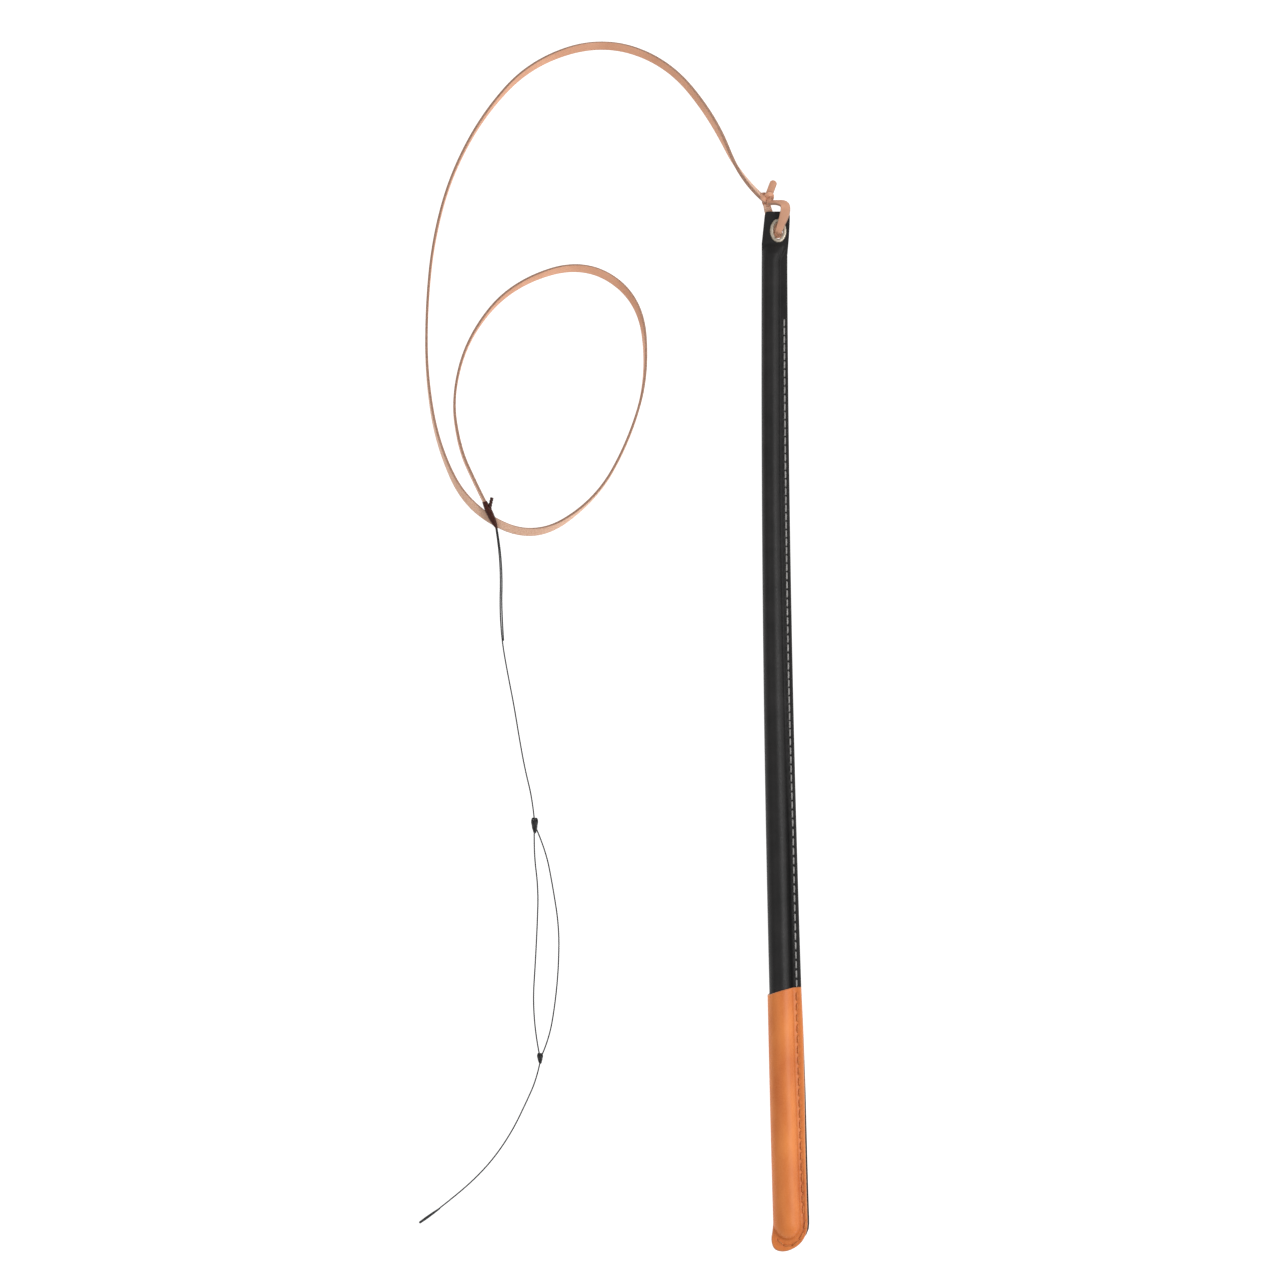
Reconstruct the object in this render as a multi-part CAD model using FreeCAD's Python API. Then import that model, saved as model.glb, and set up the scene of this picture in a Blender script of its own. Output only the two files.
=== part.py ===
import FreeCAD, Part
import math
import os

# A leather-covered whip with a lace thong and a thread cracker, lying flat on a surface.
#
# Millimetres. +Y runs along the stock from butt to tip, +X to the seam side, +Z up.
# The origin is under the middle of the stock, on the surface that it lies on.
#
# The stock (rod, covers, seam threads and eyelet) is drawn level, with its axis at z = 0,
# and is then laid down: tilted a little, because the butt is thicker than the tip, and
# pressed flat where it touches the surface. The thong and the cracker are drawn in place.

V = FreeCAD.Vector

# Stock: overall length, and the gentle bow of its axis in the XY plane
HALF_LENGTH = 300.0
BOW_DEPTH = -4.55
BOW_MIDDLE_Y = 5.0
BOW_CURVE = 3.4e-5

# Rod inside the covers: (place along the stock, radius), and how far its centre lies from the bow line,
# because the sheath's left side runs straight on while the rod tapers towards the tip
ROD_TIP_Y = 276.3
ROD_BUTT_Y = -288.5
ROD_RADIUS = [(-288.5, 5.8), (-150.0, 5.2), (-60.0, 5.15), (30.0, 4.65), (130.0, 4.2), (276.3, 4.05)]
ROD_SHIFT = [(-288.5, 0.0), (-150.0, 0.1), (-60.0, 0.05), (30.0, -0.45), (130.0, -0.9), (276.3, -1.05)]
ROD_TIP_RADII = [(274.3, 3.6), (276.3, 2.3)]
ROD_BUTT_END_RADIUS = 3.4
ROD_ROUNDING = 5.0

# Leather
BLACK_LEATHER = 1.2
TAN_LEATHER = 1.1

# Grip's top edge: straight on the seam side, then curving down towards the butt
GRIP_TOP_Y = -147.5
GRIP_TOP_CURVE = [(7.0, -147.5), (-2.0, -148.6), (-12.5, -152.6)]

# Flat seam flange on the +X side: (place along the stock, reach from its axis), and how far
# the black edge shows outside the tan one
FLANGE_REACH = [(-288.5, 12.8), (-250.0, 12.85), (-210.0, 13.05), (-175.0, 12.8), (-147.5, 12.2)]
FLANGE_REACH += [(266.0, 8.6)]
BLACK_SHOWING = [(-288.5, 0.9), (-235.0, 0.9), (-190.0, 0.3), (-147.5, 0.15)]

# Sheath's shoulder down to the flat tip, from the tip: (x, y, half width, half height), and its butt end
SHOULDER = [(-0.7, 281.3, 6.6, 1.25), (-1.9, 278.5, 6.1, 3.5), (-2.6, 275.6, 5.7, 4.9)]
SHEATH_BUTT_RADIUS = 4.6

# Outline of the flat tip, anticlockwise round it from the left shoulder: runs of three points are arcs
TIP_SHOULDER = [(-4.0, 268.0), (-8.2, 272.0)]
TIP_LEFT = [(-8.2, 272.0), (-8.25, 281.5), (-6.9, 292.5)]
TIP_LEFT_END = [(-6.9, 292.5), (-6.2, 298.2)]
TIP_LEFT_CORNER = [(-6.2, 298.2), (-5.7, 299.2), (-4.7, 299.6)]
TIP_END = [(-4.7, 299.6), (1.0, HALF_LENGTH), (6.2, 299.4)]
TIP_RIGHT_CORNER = [(6.2, 299.4), (7.7, 298.4), (8.2, 296.4)]
TIP_RIGHT_MIDDLE = (7.5, 284.5)
TIP_RIGHT_Y = 274.0

# Butt: end of the sheath's flange, dome of the tan cover, and outline of the tan flange round it
SHEATH_CORNER = (8.6, -289.2)
SHEATH_END_Y = -292.0
DOME = [(-287.6, 7.8, 7.6), (-290.8, 6.8, 5.6), (-292.8, 4.6, 2.3)]
BUTT_RIGHT_Y = -279.0
BUTT_RIGHT_CORNER = (7.0, -293.6)
BUTT_END = (-3.4, -HALF_LENGTH)
BUTT_LEFT_CORNER = (-8.9, -297.7)
BUTT_LEFT = [(-10.8, -292.6), (-9.2, -281.0)]

# Seams. The pitch along the shaft is uneven: (stitch number, place), and (place, reach from the axis)
THREAD = 0.6
THREAD_FLOAT_WIDTH = 1.0
SHAFT_STITCHES = 76
SHAFT_SEAM_PLACES = [(0, -145.5), (17, -53.0), (27, -1.0), (34, 32.4), (45, 89.6), (75, 235.6)]
SHAFT_SEAM_REACH = [(-145.5, 9.4), (-60.0, 9.2), (30.0, 8.05), (130.0, 7.4), (235.6, 6.7)]
SHAFT_STITCH_LENGTH = 3.7
GRIP_STITCHES = 21
GRIP_STITCH_PITCH = 6.14
GRIP_STITCH_LENGTH = 4.3
GRIP_SEAM_START_Y = -152.9
GRIP_SEAM_REACH = 9.4
BUTT_STITCHES = 5
BUTT_SEAM_X = -0.9
BUTT_SEAM_Y = -280.0
BUTT_SEAM_HALF_WIDTH = 9.8
BUTT_SEAM_HALF_HEIGHT = 16.3
BUTT_SEAM_START = -16.0
BUTT_SEAM_STEP = 26.0

# Eyelet in the flat tip: an oval ring, longer along Y
EYELET_X = 1.3
EYELET_Y = 288.7
EYELET_HOLE = (2.7, 4.7)
EYELET_BARREL_WALL = 0.4
EYELET_FLANGE = 2.2
EYELET_THICKNESS = 0.55
EYELET_ROLL = (0.7, 0.35)

# How the stock lies
AXIS_HEIGHT = 6.857
AXIS_SLOPE = 0.00261

# Thong: a flat leather lace
LACE_WIDTH = 4.8
LACE_THICKNESS = 2.0
LACE_LOOP_DIAMETER = 3.0

# Cracker: waxed thread
STRAND = 0.9
HITCH_RADII = [1.9, 2.0, 2.0, 2.0, 1.8, 1.5, 0.6]
HITCH_END_RADIUS = 1.0
WHIPPING_RADII = [0.6, 0.75, 0.75, 0.5]

# Routes. Each list is the corner points of one cord, in order.
LOOP_ROUTE = [
    (-3.5, 306.2, 4.6),
    (1.6, 306.6, 7.8),
    (6.2, 304.6, 9.8),
    (6.3, 299.0, 10.3),
    (4.2, 293.0, 10.1),
    (1.3, 288.7, 9.9),
    (1.3, 288.7, 2.15),
    (-1.2, 293.4, 2.1),
    (-4.2, 299.2, 2.2),
    (-4.9, 304.8, 3.0),
]
STUB_ROUTE = [
    (-3.6, 306.6, 3.4),
    (-2.6, 312.0, 2.9),
    (-0.4, 318.0, 1.8),
]
THONG_ROUTE = [
    (-4.5, 306.0, 2.6),
    (-19.0, 318.0, 1.4),
    (-35.5, 356.0, 1.05),
    (-61.5, 388.0, 1.05),
    (-99.0, 401.0, 1.05),
    (-139.5, 388.5, 1.05),
    (-167.0, 360.5, 1.05),
    (-187.0, 325.0, 1.05),
    (-198.0, 287.0, 1.05),
    (-202.5, 247.0, 1.05),
    (-203.0, 207.5, 1.05),
    (-197.0, 167.5, 1.05),
    (-180.0, 131.0, 1.05),
    (-142.0, 112.0, 1.05),
    (-106.0, 135.0, 1.05),
    (-86.0, 170.0, 1.05),
    (-75.0, 207.0, 1.05),
    (-78.5, 251.0, 1.05),
    (-110.5, 273.5, 1.05),
    (-153.0, 260.5, 1.05),
    (-178.5, 231.0, 1.05),
    (-188.5, 196.0, 1.2),
    (-184.5, 166.0, 3.6),
    (-176.0, 146.5, 4.6),
    (-170.4, 134.9, 4.7),
]
HITCH_ROUTE = [(-170.4, 134.9, 4.7), (-163.5, 119.4, 4.6)]
HITCH_END_ROUTE = [(-167.6, 129.5, 5.0), (-167.0, 133.5, 6.1), (-165.9, 137.2, 6.6)]
LINE_ROUTE = [
    (-163.7, 118.6, 4.6),
    (-162.6, 109.0, 4.0),
    (-161.8, 92.0, 0.7),
    (-162.6, 73.0, 0.5),
    (-161.6, 54.0, 0.5),
    (-158.6, 35.5, 0.5),
    (-155.2, 17.0, 0.5),
    (-152.4, -2.0, 0.5),
    (-149.4, -20.0, 0.5),
    (-145.2, -38.0, 0.5),
    (-144.2, -48.0, 0.9),
]
SHORT_END_ROUTE = [
    (-162.6, 118.8, 4.6),
    (-161.4, 109.0, 3.6),
    (-160.6, 91.5, 0.7),
    (-161.4, 73.0, 0.5),
    (-160.4, 54.5, 0.5),
]
LEFT_ROUTE = [
    (-144.4, -56.0, 0.9),
    (-145.0, -68.0, 0.5),
    (-142.6, -89.5, 0.5),
    (-143.6, -111.0, 0.5),
    (-145.0, -132.5, 0.5),
    (-146.7, -154.0, 0.5),
    (-145.2, -176.0, 0.5),
    (-143.0, -187.0, 0.9),
]
RIGHT_ROUTE = [
    (-143.4, -56.0, 0.9),
    (-138.0, -67.0, 0.5),
    (-134.2, -88.5, 0.5),
    (-131.0, -111.0, 0.5),
    (-131.4, -132.5, 0.5),
    (-133.6, -154.5, 0.5),
    (-137.6, -176.5, 0.5),
    (-142.6, -187.0, 0.9),
]
TAIL_ROUTE = [
    (-142.7, -188.0, 0.9),
    (-145.0, -199.0, 0.5),
    (-152.0, -214.0, 0.5),
    (-159.6, -229.0, 0.5),
    (-169.5, -243.5, 0.5),
    (-180.5, -255.5, 0.5),
    (-194.0, -267.0, 0.5),
    (-205.5, -275.6, 0.55),
]
WHIPPING_ROUTE = [(-205.5, -275.6, 0.8), (-214.2, -281.6, 0.8)]
UPPER_KNOT = ((-144.2, -52.6, 1.5), (2.1, 4.6, 1.4))
LOWER_KNOT = ((-143.0, -187.4, 1.3), (1.8, 3.2, 1.2))
THONG_KNOT = ((-4.6, 306.6, 3.1), (3.6, 3.2, 2.9))


def bow(y):
    """X of the stock's axis: a long shallow curve."""
    return BOW_DEPTH + BOW_CURVE * (y - BOW_MIDDLE_Y) ** 2


def between(y, y_a, value_a, y_b, value_b):
    """A value that changes evenly from value_a at y_a to value_b at y_b."""
    return value_a + (value_b - value_a) * (y - y_a) / (y_b - y_a)


def on_keys(keys, place):
    """A value that changes evenly from key to key; the end runs go on beyond the first and last."""
    for low, high in zip(keys, keys[1:]):
        if place <= high[0]:
            break
    return between(place, *low, *high)


def flange_edge(y):
    """X of the black flange's free edge along the shaft and the grip."""
    return bow(y) + on_keys(FLANGE_REACH, y)


def tan_edge(y):
    """X of the tan flange's free edge."""
    return flange_edge(y) - on_keys(BLACK_SHOWING, y)


def rod_section(y, cover=0.0, radius=None):
    """A section of the rod, or of a cover of the given thickness round it."""
    outside = (radius or on_keys(ROD_RADIUS, y)) + cover
    return bow(y) + on_keys(ROD_SHIFT, y), y, outside, outside


def oval(x, y, half_width, half_height):
    """A closed section across the stock: two half ovals that start on the +X side."""
    right = V(x + half_width, y, 0)
    left = V(x - half_width, y, 0)
    if half_width - half_height < 1e-6:
        upper = Part.Arc(right, V(x, y, half_height), left)
        lower = Part.Arc(left, V(x, y, -half_height), right)
        return Part.Wire([upper.toShape(), lower.toShape()])
    ellipse = Part.Ellipse(right, V(x, y, half_height), V(x, y, 0))
    upper = Part.ArcOfEllipse(ellipse, 0, math.pi)
    lower = Part.ArcOfEllipse(ellipse, math.pi, 2 * math.pi)
    return Part.Wire([upper.toShape(), lower.toShape()])


def tube(sections):
    """A solid through oval sections given as (x, y, half width, half height)."""
    return Part.makeLoft([oval(*section) for section in sections], True, True)


def stations(y_start, y_end, count):
    """Evenly spaced places along the stock."""
    return [between(i, 0, y_start, count, y_end) for i in range(count + 1)]


def polyline(points):
    """Straight edges through the points."""
    return [Part.LineSegment(V(*a, 0), V(*b, 0)).toShape() for a, b in zip(points, points[1:])]


def arc(a, middle, b):
    return Part.Arc(V(*a, 0), V(*middle, 0), V(*b, 0)).toShape()


def along_edge(edge, ys):
    """A smooth edge that follows a flange's free edge."""
    curve = Part.BSplineCurve()
    curve.interpolate([V(edge(y), y, 0) for y in ys])
    return curve.toShape()


def prism(outline, z_bottom, z_top):
    """A flat-ended solid from a closed outline of edges."""
    face = Part.Face(Part.Wire(outline))
    face.translate(V(0, 0, z_bottom))
    return face.extrude(V(0, 0, z_top - z_bottom))


def core_rod():
    """Tapered rod with rounded ends, which stiffens the stock."""
    ys = stations(ROD_TIP_Y - ROD_ROUNDING, ROD_BUTT_Y + ROD_ROUNDING, 12)
    sections = [rod_section(y, radius=radius) for y, radius in ROD_TIP_RADII[::-1]]
    sections += [rod_section(y) for y in ys]
    return tube(sections + [rod_section(ROD_BUTT_Y, radius=ROD_BUTT_END_RADIUS)])


def shaft_tube():
    """Outside of the sheath where it wraps the rod, with the shoulder down to the flat tip."""
    ys = stations(ROD_TIP_Y - ROD_ROUNDING, ROD_BUTT_Y + 3, 12)
    sections = SHOULDER + [rod_section(y, BLACK_LEATHER) for y in ys]
    return tube(sections + [rod_section(ROD_BUTT_Y - 1.6, radius=SHEATH_BUTT_RADIUS)])


def shaft_plate():
    """The two layers of black leather that lie flat: the seam flange and the tip."""
    ys = stations(TIP_RIGHT_Y, ROD_BUTT_Y + 6, 12)
    right_top = (flange_edge(ys[0]), ys[0])
    right_end = (flange_edge(ys[-1]), ys[-1])
    butt = (bow(SHEATH_END_Y), SHEATH_END_Y)
    axis = [(bow(y), y) for y in (-200, 0, 200)]
    outline = [along_edge(flange_edge, ys)]
    outline += [arc(right_end, SHEATH_CORNER, butt)]
    outline += polyline([butt, *axis, *TIP_SHOULDER])
    outline += [arc(*TIP_LEFT)]
    outline += polyline(TIP_LEFT_END)
    outline += [arc(*TIP_LEFT_CORNER)]
    outline += [arc(*TIP_END)]
    outline += [arc(*TIP_RIGHT_CORNER)]
    outline += [arc(TIP_RIGHT_CORNER[-1], TIP_RIGHT_MIDDLE, right_top)]
    return prism(outline, -BLACK_LEATHER, BLACK_LEATHER)


def eyelet_oval(margin, z_bottom, height):
    """A standing oval prism on the eyelet's axis, margin larger than its hole."""
    across, along = EYELET_HOLE
    centre = V(EYELET_X, EYELET_Y, z_bottom)
    ellipse = Part.Ellipse(centre + V(0, along + margin, 0), centre + V(-across - margin, 0, 0), centre)
    face = Part.Face(Part.Wire(ellipse.toShape()))
    return face.extrude(V(0, 0, height))


def shaft_outside():
    """Outside of the whole sheath."""
    return shaft_tube().fuse(shaft_plate()).removeSplitter()


def shaft_cover(outside, rod):
    """Black sheath: folded round the rod, flat at the tip and along the seam, cut for the eyelet."""
    hole = eyelet_oval(EYELET_BARREL_WALL, -5, 10)
    seat = eyelet_oval(EYELET_FLANGE, BLACK_LEATHER, 5)
    back_seat = eyelet_oval(EYELET_FLANGE, -BLACK_LEATHER - 5, 5)
    return outside.cut(rod).cut(hole).cut(seat).cut(back_seat)


def grip_outside():
    """Outside of the tan cover: tube, rounded butt and flange."""
    top = GRIP_TOP_Y + 1
    margin = BLACK_LEATHER + TAN_LEATHER
    ys = stations(top, ROD_BUTT_Y + 5, 4)
    sections = [rod_section(y, margin) for y in ys]
    sections += [(bow(y), y, half_width, half_height) for y, half_width, half_height in DOME]
    edge_ys = stations(top, BUTT_RIGHT_Y, 8)
    right_top = (tan_edge(top), top)
    right_low = (tan_edge(BUTT_RIGHT_Y), BUTT_RIGHT_Y)
    outline = [along_edge(tan_edge, edge_ys)]
    outline += [arc(right_low, BUTT_RIGHT_CORNER, BUTT_END)]
    outline += [arc(BUTT_END, BUTT_LEFT_CORNER, BUTT_LEFT[0])]
    outline += polyline([*BUTT_LEFT, (bow(-270), -270), (bow(top), top), right_top])
    return tube(sections).fuse(prism(outline, -margin, margin)).removeSplitter()


def above_grip():
    """Everything beyond the grip's curved top edge."""
    right, left = GRIP_TOP_CURVE[0], GRIP_TOP_CURVE[-1]
    far, wide = GRIP_TOP_Y + 20, 20
    outline = [arc(*GRIP_TOP_CURVE)]
    outline += polyline([left, (-wide, left[1]), (-wide, far), (wide, far), (wide, right[1]), right])
    return prism(outline, -wide, wide)


def grip_cover(outside, rod):
    """Tan cover over the black sheath."""
    return grip_outside().cut(above_grip()).cut(outside).cut(rod)


def stitch(x, y, heading, length, z, side):
    """One float of thread that lies on the leather, rounded on top; side is 1 above, -1 below."""
    half = length / 2
    section = Part.Wire([
        Part.Arc(V(-half, 0, 0), V(0, 0, side * THREAD), V(half, 0, 0)).toShape(),
        Part.LineSegment(V(half, 0, 0), V(-half, 0, 0)).toShape(),
    ])
    float_of_thread = Part.Face(section).extrude(V(0, THREAD_FLOAT_WIDTH, 0))
    float_of_thread.translate(V(0, -THREAD_FLOAT_WIDTH / 2, 0))
    float_of_thread.rotate(V(0, 0, 0), V(0, 0, 1), heading)
    float_of_thread.translate(V(x, y, side * z))
    return float_of_thread


def shaft_seam_places():
    """Middle and heading of each stitch along the shaft."""
    places = []
    for i in range(SHAFT_STITCHES):
        y = on_keys(SHAFT_SEAM_PLACES, i)
        x = bow(y) + on_keys(SHAFT_SEAM_REACH, y)
        places.append((x, y, 90 - math.degrees(2 * BOW_CURVE * (y - BOW_MIDDLE_Y))))
    return places


def grip_seam_places():
    """Middle and heading of each stitch of the grip: down the flange, then round the butt."""
    places = []
    for i in range(GRIP_STITCHES):
        y = GRIP_SEAM_START_Y - i * GRIP_STITCH_PITCH
        places.append((bow(y) + GRIP_SEAM_REACH, y, 90.0))
    for i in range(BUTT_STITCHES):
        angle = math.radians(BUTT_SEAM_START - i * BUTT_SEAM_STEP)
        across = BUTT_SEAM_HALF_WIDTH * math.cos(angle)
        along = BUTT_SEAM_HALF_HEIGHT * math.sin(angle)
        slope = math.atan2(BUTT_SEAM_HALF_HEIGHT * math.cos(angle), -BUTT_SEAM_HALF_WIDTH * math.sin(angle))
        places.append((BUTT_SEAM_X + across, BUTT_SEAM_Y + along, math.degrees(slope)))
    return places


def seam(places, length, z, side):
    """Row of stitches, seen from one side."""
    return Part.makeCompound([stitch(x, y, heading, length, z, side) for x, y, heading in places])


def eyelet():
    """Front ring and barrel in one piece, with its end rolled over the washer at the back."""
    wall = EYELET_BARREL_WALL
    roll_reach, roll_height = EYELET_ROLL
    front = eyelet_oval(EYELET_FLANGE, BLACK_LEATHER, EYELET_THICKNESS)
    end = -BLACK_LEATHER - EYELET_THICKNESS - roll_height
    barrel = eyelet_oval(wall, end, BLACK_LEATHER - end)
    roll = eyelet_oval(wall + roll_reach, end, roll_height)
    ring = front.fuse(barrel).fuse(roll).removeSplitter()
    return ring.cut(eyelet_oval(0, -10, 20))


def eyelet_washer():
    """Loose ring behind the tip, under the eyelet's rolled end."""
    t = EYELET_THICKNESS
    ring = eyelet_oval(EYELET_FLANGE, -BLACK_LEATHER - t, t)
    return ring.cut(eyelet_oval(EYELET_BARREL_WALL, -10, 20))


def lay_down(shape):
    """From the level drawing to the way the stock lies, pressed flat where it touches."""
    placed = shape.copy()
    placed.rotate(V(0, 0, 0), V(1, 0, 0), -math.degrees(math.atan(AXIS_SLOPE)))
    placed.translate(V(0, 0, AXIS_HEIGHT))
    if placed.BoundBox.ZMin < 0:
        below = Part.makeBox(60, 700, 10, V(-30, -350, -10))
        placed = placed.cut(below)
    return placed


def rounded_path(name, points):
    """Straight runs joined by tangent arcs, as large as the two runs allow."""
    points = [V(*p) for p in points]
    edges = []
    start = points[0]
    radii = []
    for before, corner, after in zip(points, points[1:], points[2:]):
        run_in = corner - before
        run_out = after - corner
        turn = run_in.getAngle(run_out)
        cut = 0.45 * min(run_in.Length, run_out.Length)
        direction_in = V(run_in).normalize()
        direction_out = V(run_out).normalize()
        arc_start = corner - direction_in * cut
        arc_end = corner + direction_out * cut
        radius = cut / math.tan(turn / 2)
        towards_centre = (direction_out - direction_in).normalize()
        centre = corner + towards_centre * (radius / math.cos(turn / 2))
        arc_middle = centre - towards_centre * radius
        edges.append(Part.LineSegment(start, arc_start).toShape())
        edges.append(Part.Arc(arc_start, arc_middle, arc_end).toShape())
        radii.append(radius)
        start = arc_end
    edges.append(Part.LineSegment(start, points[-1]).toShape())
    wire = Part.Wire(edges)
    if radii:
        print(name, "length %.1f" % wire.Length, "smallest radius %.1f" % min(radii))
    return wire


def report_volume(name, solid, area, length):
    print(name, "volume %.1f" % solid.Volume, "section x length %.1f" % (area * length), solid.isValid())


def round_cord(name, points, radius):
    """Round cord along a route."""
    path = rounded_path(name, points)
    heading = V(*points[1]) - V(*points[0])
    circle = Part.Circle(V(*points[0]), heading, radius).toShape()
    solid = path.makePipeShell([Part.Wire(circle)], True, False)
    report_volume(name, solid, math.pi * radius ** 2, path.Length)
    return solid


def flat_lace(name, points):
    """Flat lace along a route, lying on its broad side."""
    path = rounded_path(name, points)
    start = V(*points[0])
    heading = (V(*points[1]) - start).normalize()
    across = heading.cross(V(0, 0, 1)).normalize()
    up = across.cross(heading)
    half_w = across * (LACE_WIDTH / 2)
    half_t = up * (LACE_THICKNESS / 2)
    top_left, top_right = start - half_w + half_t, start + half_w + half_t
    low_left, low_right = start - half_w - half_t, start + half_w - half_t
    profile = Part.makePolygon([top_right, top_left, low_left, low_right, top_right])
    solid = path.makePipeShell([profile], True, False)
    report_volume(name, solid, LACE_WIDTH * LACE_THICKNESS, path.Length)
    return solid


def outside_of(cord, *lumps):
    """The cord without what lies inside the knots at its ends."""
    for lump in lumps:
        cord = cord.cut(lump)
    return max(cord.Solids, key=lambda solid: solid.Volume)


def ellipsoid(centre, half_sizes):
    """A closed lump, as a pulled-tight knot fills."""
    ball = Part.makeSphere(1.0)
    scale = FreeCAD.Matrix()
    scale.scale(*half_sizes)
    lump = ball.transformGeometry(scale)
    lump.translate(V(*centre))
    return lump


def spindle(route, radii):
    """A round binding along a straight line, with the given radii at even steps."""
    start = V(*route[0])
    whole = V(*route[1]) - start
    wires = []
    for i, radius in enumerate(radii):
        centre = start + whole * (i / (len(radii) - 1))
        wires.append(Part.Wire(Part.Circle(centre, whole, radius).toShape()))
    return Part.makeLoft(wires, True, True)


def stock():
    """Every piece of the stock, drawn level."""
    rod = core_rod()
    outside = shaft_outside()
    shaft = (shaft_seam_places(), SHAFT_STITCH_LENGTH, BLACK_LEATHER)
    grip = (grip_seam_places(), GRIP_STITCH_LENGTH, BLACK_LEATHER + TAN_LEATHER)
    return {
        "core_rod": rod,
        "shaft_cover": shaft_cover(outside, rod),
        "shaft_thread_front": seam(*shaft, 1),
        "shaft_thread_back": seam(*shaft, -1),
        "eyelet": eyelet(),
        "eyelet_washer": eyelet_washer(),
        "grip_cover": grip_cover(outside, rod),
        "grip_thread_front": seam(*grip, 1),
        "grip_thread_back": seam(*grip, -1),
    }


def hitch():
    """Thread wound round the end of the thong."""
    return spindle(HITCH_ROUTE, HITCH_RADII)


def thong():
    """The lace: its loop through the eyelet, the knot, the short end and the long run."""
    knot = ellipsoid(*THONG_KNOT)
    loop = round_cord("thong_loop", LOOP_ROUTE, LACE_LOOP_DIAMETER / 2)
    stub = flat_lace("thong_stub", STUB_ROUTE)
    lace = flat_lace("thong", THONG_ROUTE)
    return {
        "thong_knot": knot,
        "thong_loop": outside_of(loop, knot),
        "thong_stub": outside_of(stub, knot, loop, lace),
        "thong": outside_of(lace, knot, hitch()),
    }


def cracker():
    """The thread cracker and the hitch that ties it to the thong."""
    upper = ellipsoid(*UPPER_KNOT)
    lower = ellipsoid(*LOWER_KNOT)
    hitch_end = round_cord("cracker_hitch_end", HITCH_END_ROUTE, HITCH_END_RADIUS)
    radius = STRAND / 2
    line = round_cord("cracker_line", LINE_ROUTE, radius)
    left = round_cord("cracker_strand_left", LEFT_ROUTE, radius)
    right = round_cord("cracker_strand_right", RIGHT_ROUTE, radius)
    tail = round_cord("cracker_tail", TAIL_ROUTE, radius)
    whipping = spindle(WHIPPING_ROUTE, WHIPPING_RADII)
    return {
        "cracker_hitch": hitch(),
        "cracker_hitch_end": outside_of(hitch_end, hitch()),
        "cracker_line": outside_of(line, upper),
        "cracker_short_end": round_cord("cracker_short_end", SHORT_END_ROUTE, radius),
        "cracker_knot_upper": upper,
        "cracker_strand_left": outside_of(left, upper, lower),
        "cracker_strand_right": outside_of(right, upper, lower),
        "cracker_knot_lower": lower,
        "cracker_tail": outside_of(tail, lower, whipping),
        "cracker_whipping": whipping,
    }


def main():
    os.makedirs("parts", exist_ok=True)
    nodes = {name: lay_down(shape) for name, shape in stock().items()}
    nodes.update(thong())
    nodes.update(cracker())
    for name, shape in nodes.items():
        box = shape.optimalBoundingBox()
        print(name, len(shape.Solids), shape.isValid(), "%.1f" % shape.Volume,
              "x %.2f %.2f" % (box.XMin, box.XMax), "y %.2f %.2f" % (box.YMin, box.YMax),
              "z %.2f %.2f" % (box.ZMin, box.ZMax))
        shape.exportStep("parts/%s.step" % name)


main()
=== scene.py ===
"""The look of a leather-covered whip: stock, lace thong and thread cracker, lying on a pale floor.

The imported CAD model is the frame: +Y runs from butt to tip, +X to the seam side, +Z up.
Lengths are in metres and angles in degrees. The stock's own shapes are drawn level, with the
axis at z = 0, and laid() puts them where the CAD stock lies.
"""
import math
from dataclasses import dataclass

import bmesh
import bpy
from mathutils import Matrix, Vector, kdtree, noise


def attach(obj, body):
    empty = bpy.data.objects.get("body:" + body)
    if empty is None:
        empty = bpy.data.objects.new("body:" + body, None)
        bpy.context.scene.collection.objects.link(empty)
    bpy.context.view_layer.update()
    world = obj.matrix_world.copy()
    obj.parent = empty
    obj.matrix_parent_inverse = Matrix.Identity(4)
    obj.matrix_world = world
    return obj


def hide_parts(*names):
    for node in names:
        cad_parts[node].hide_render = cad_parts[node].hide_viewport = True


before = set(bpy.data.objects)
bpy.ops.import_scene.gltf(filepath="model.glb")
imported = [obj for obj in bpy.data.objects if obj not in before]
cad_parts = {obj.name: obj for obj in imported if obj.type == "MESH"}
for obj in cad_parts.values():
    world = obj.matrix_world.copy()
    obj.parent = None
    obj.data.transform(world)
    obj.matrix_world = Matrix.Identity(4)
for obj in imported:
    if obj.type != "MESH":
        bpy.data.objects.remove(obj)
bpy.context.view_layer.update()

MM = 0.001

# The photograph's view: straight down, turned a little
VIEW_CENTRE = (-81.75 * MM, 53.8 * MM)
VIEW_WIDTH = 739.5 * MM
VIEW_TURN = -0.82
VIEW_HEIGHT = 4 * MM
LENS = 100.0
SENSOR = 36.0

# Stock, nearly as in the CAD part: (place along it, value) pairs for what changes along it
BOW_DEPTH = -4.55 * MM
BOW_MIDDLE = 5 * MM
BOW_CURVE = 3.4e-5 / MM
ROD_RADIUS = [
    (-0.2885, 0.0058), (-0.150, 0.0052), (-0.060, 0.00515), (0.030, 0.00465), (0.130, 0.0042),
    (0.2763, 0.00405),
]
ROD_SHIFT = [
    (-0.2885, 0.0), (-0.150, 0.0001), (-0.060, 0.00005), (0.030, -0.00045), (0.130, -0.0009),
    (0.2763, -0.00105),
]
AXIS_HEIGHT = 6.857 * MM
AXIS_SLOPE = 0.00261
BLACK_LEATHER = 1.2 * MM
TAN_LEATHER = 1.1 * MM
BOTH_LEATHERS = BLACK_LEATHER + TAN_LEATHER
FLANGE_REACH = [
    (-0.2885, 0.0128), (-0.250, 0.01285), (-0.210, 0.01305), (-0.175, 0.0128), (-0.1475, 0.0122),
    (0.266, 0.0086),
]
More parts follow.
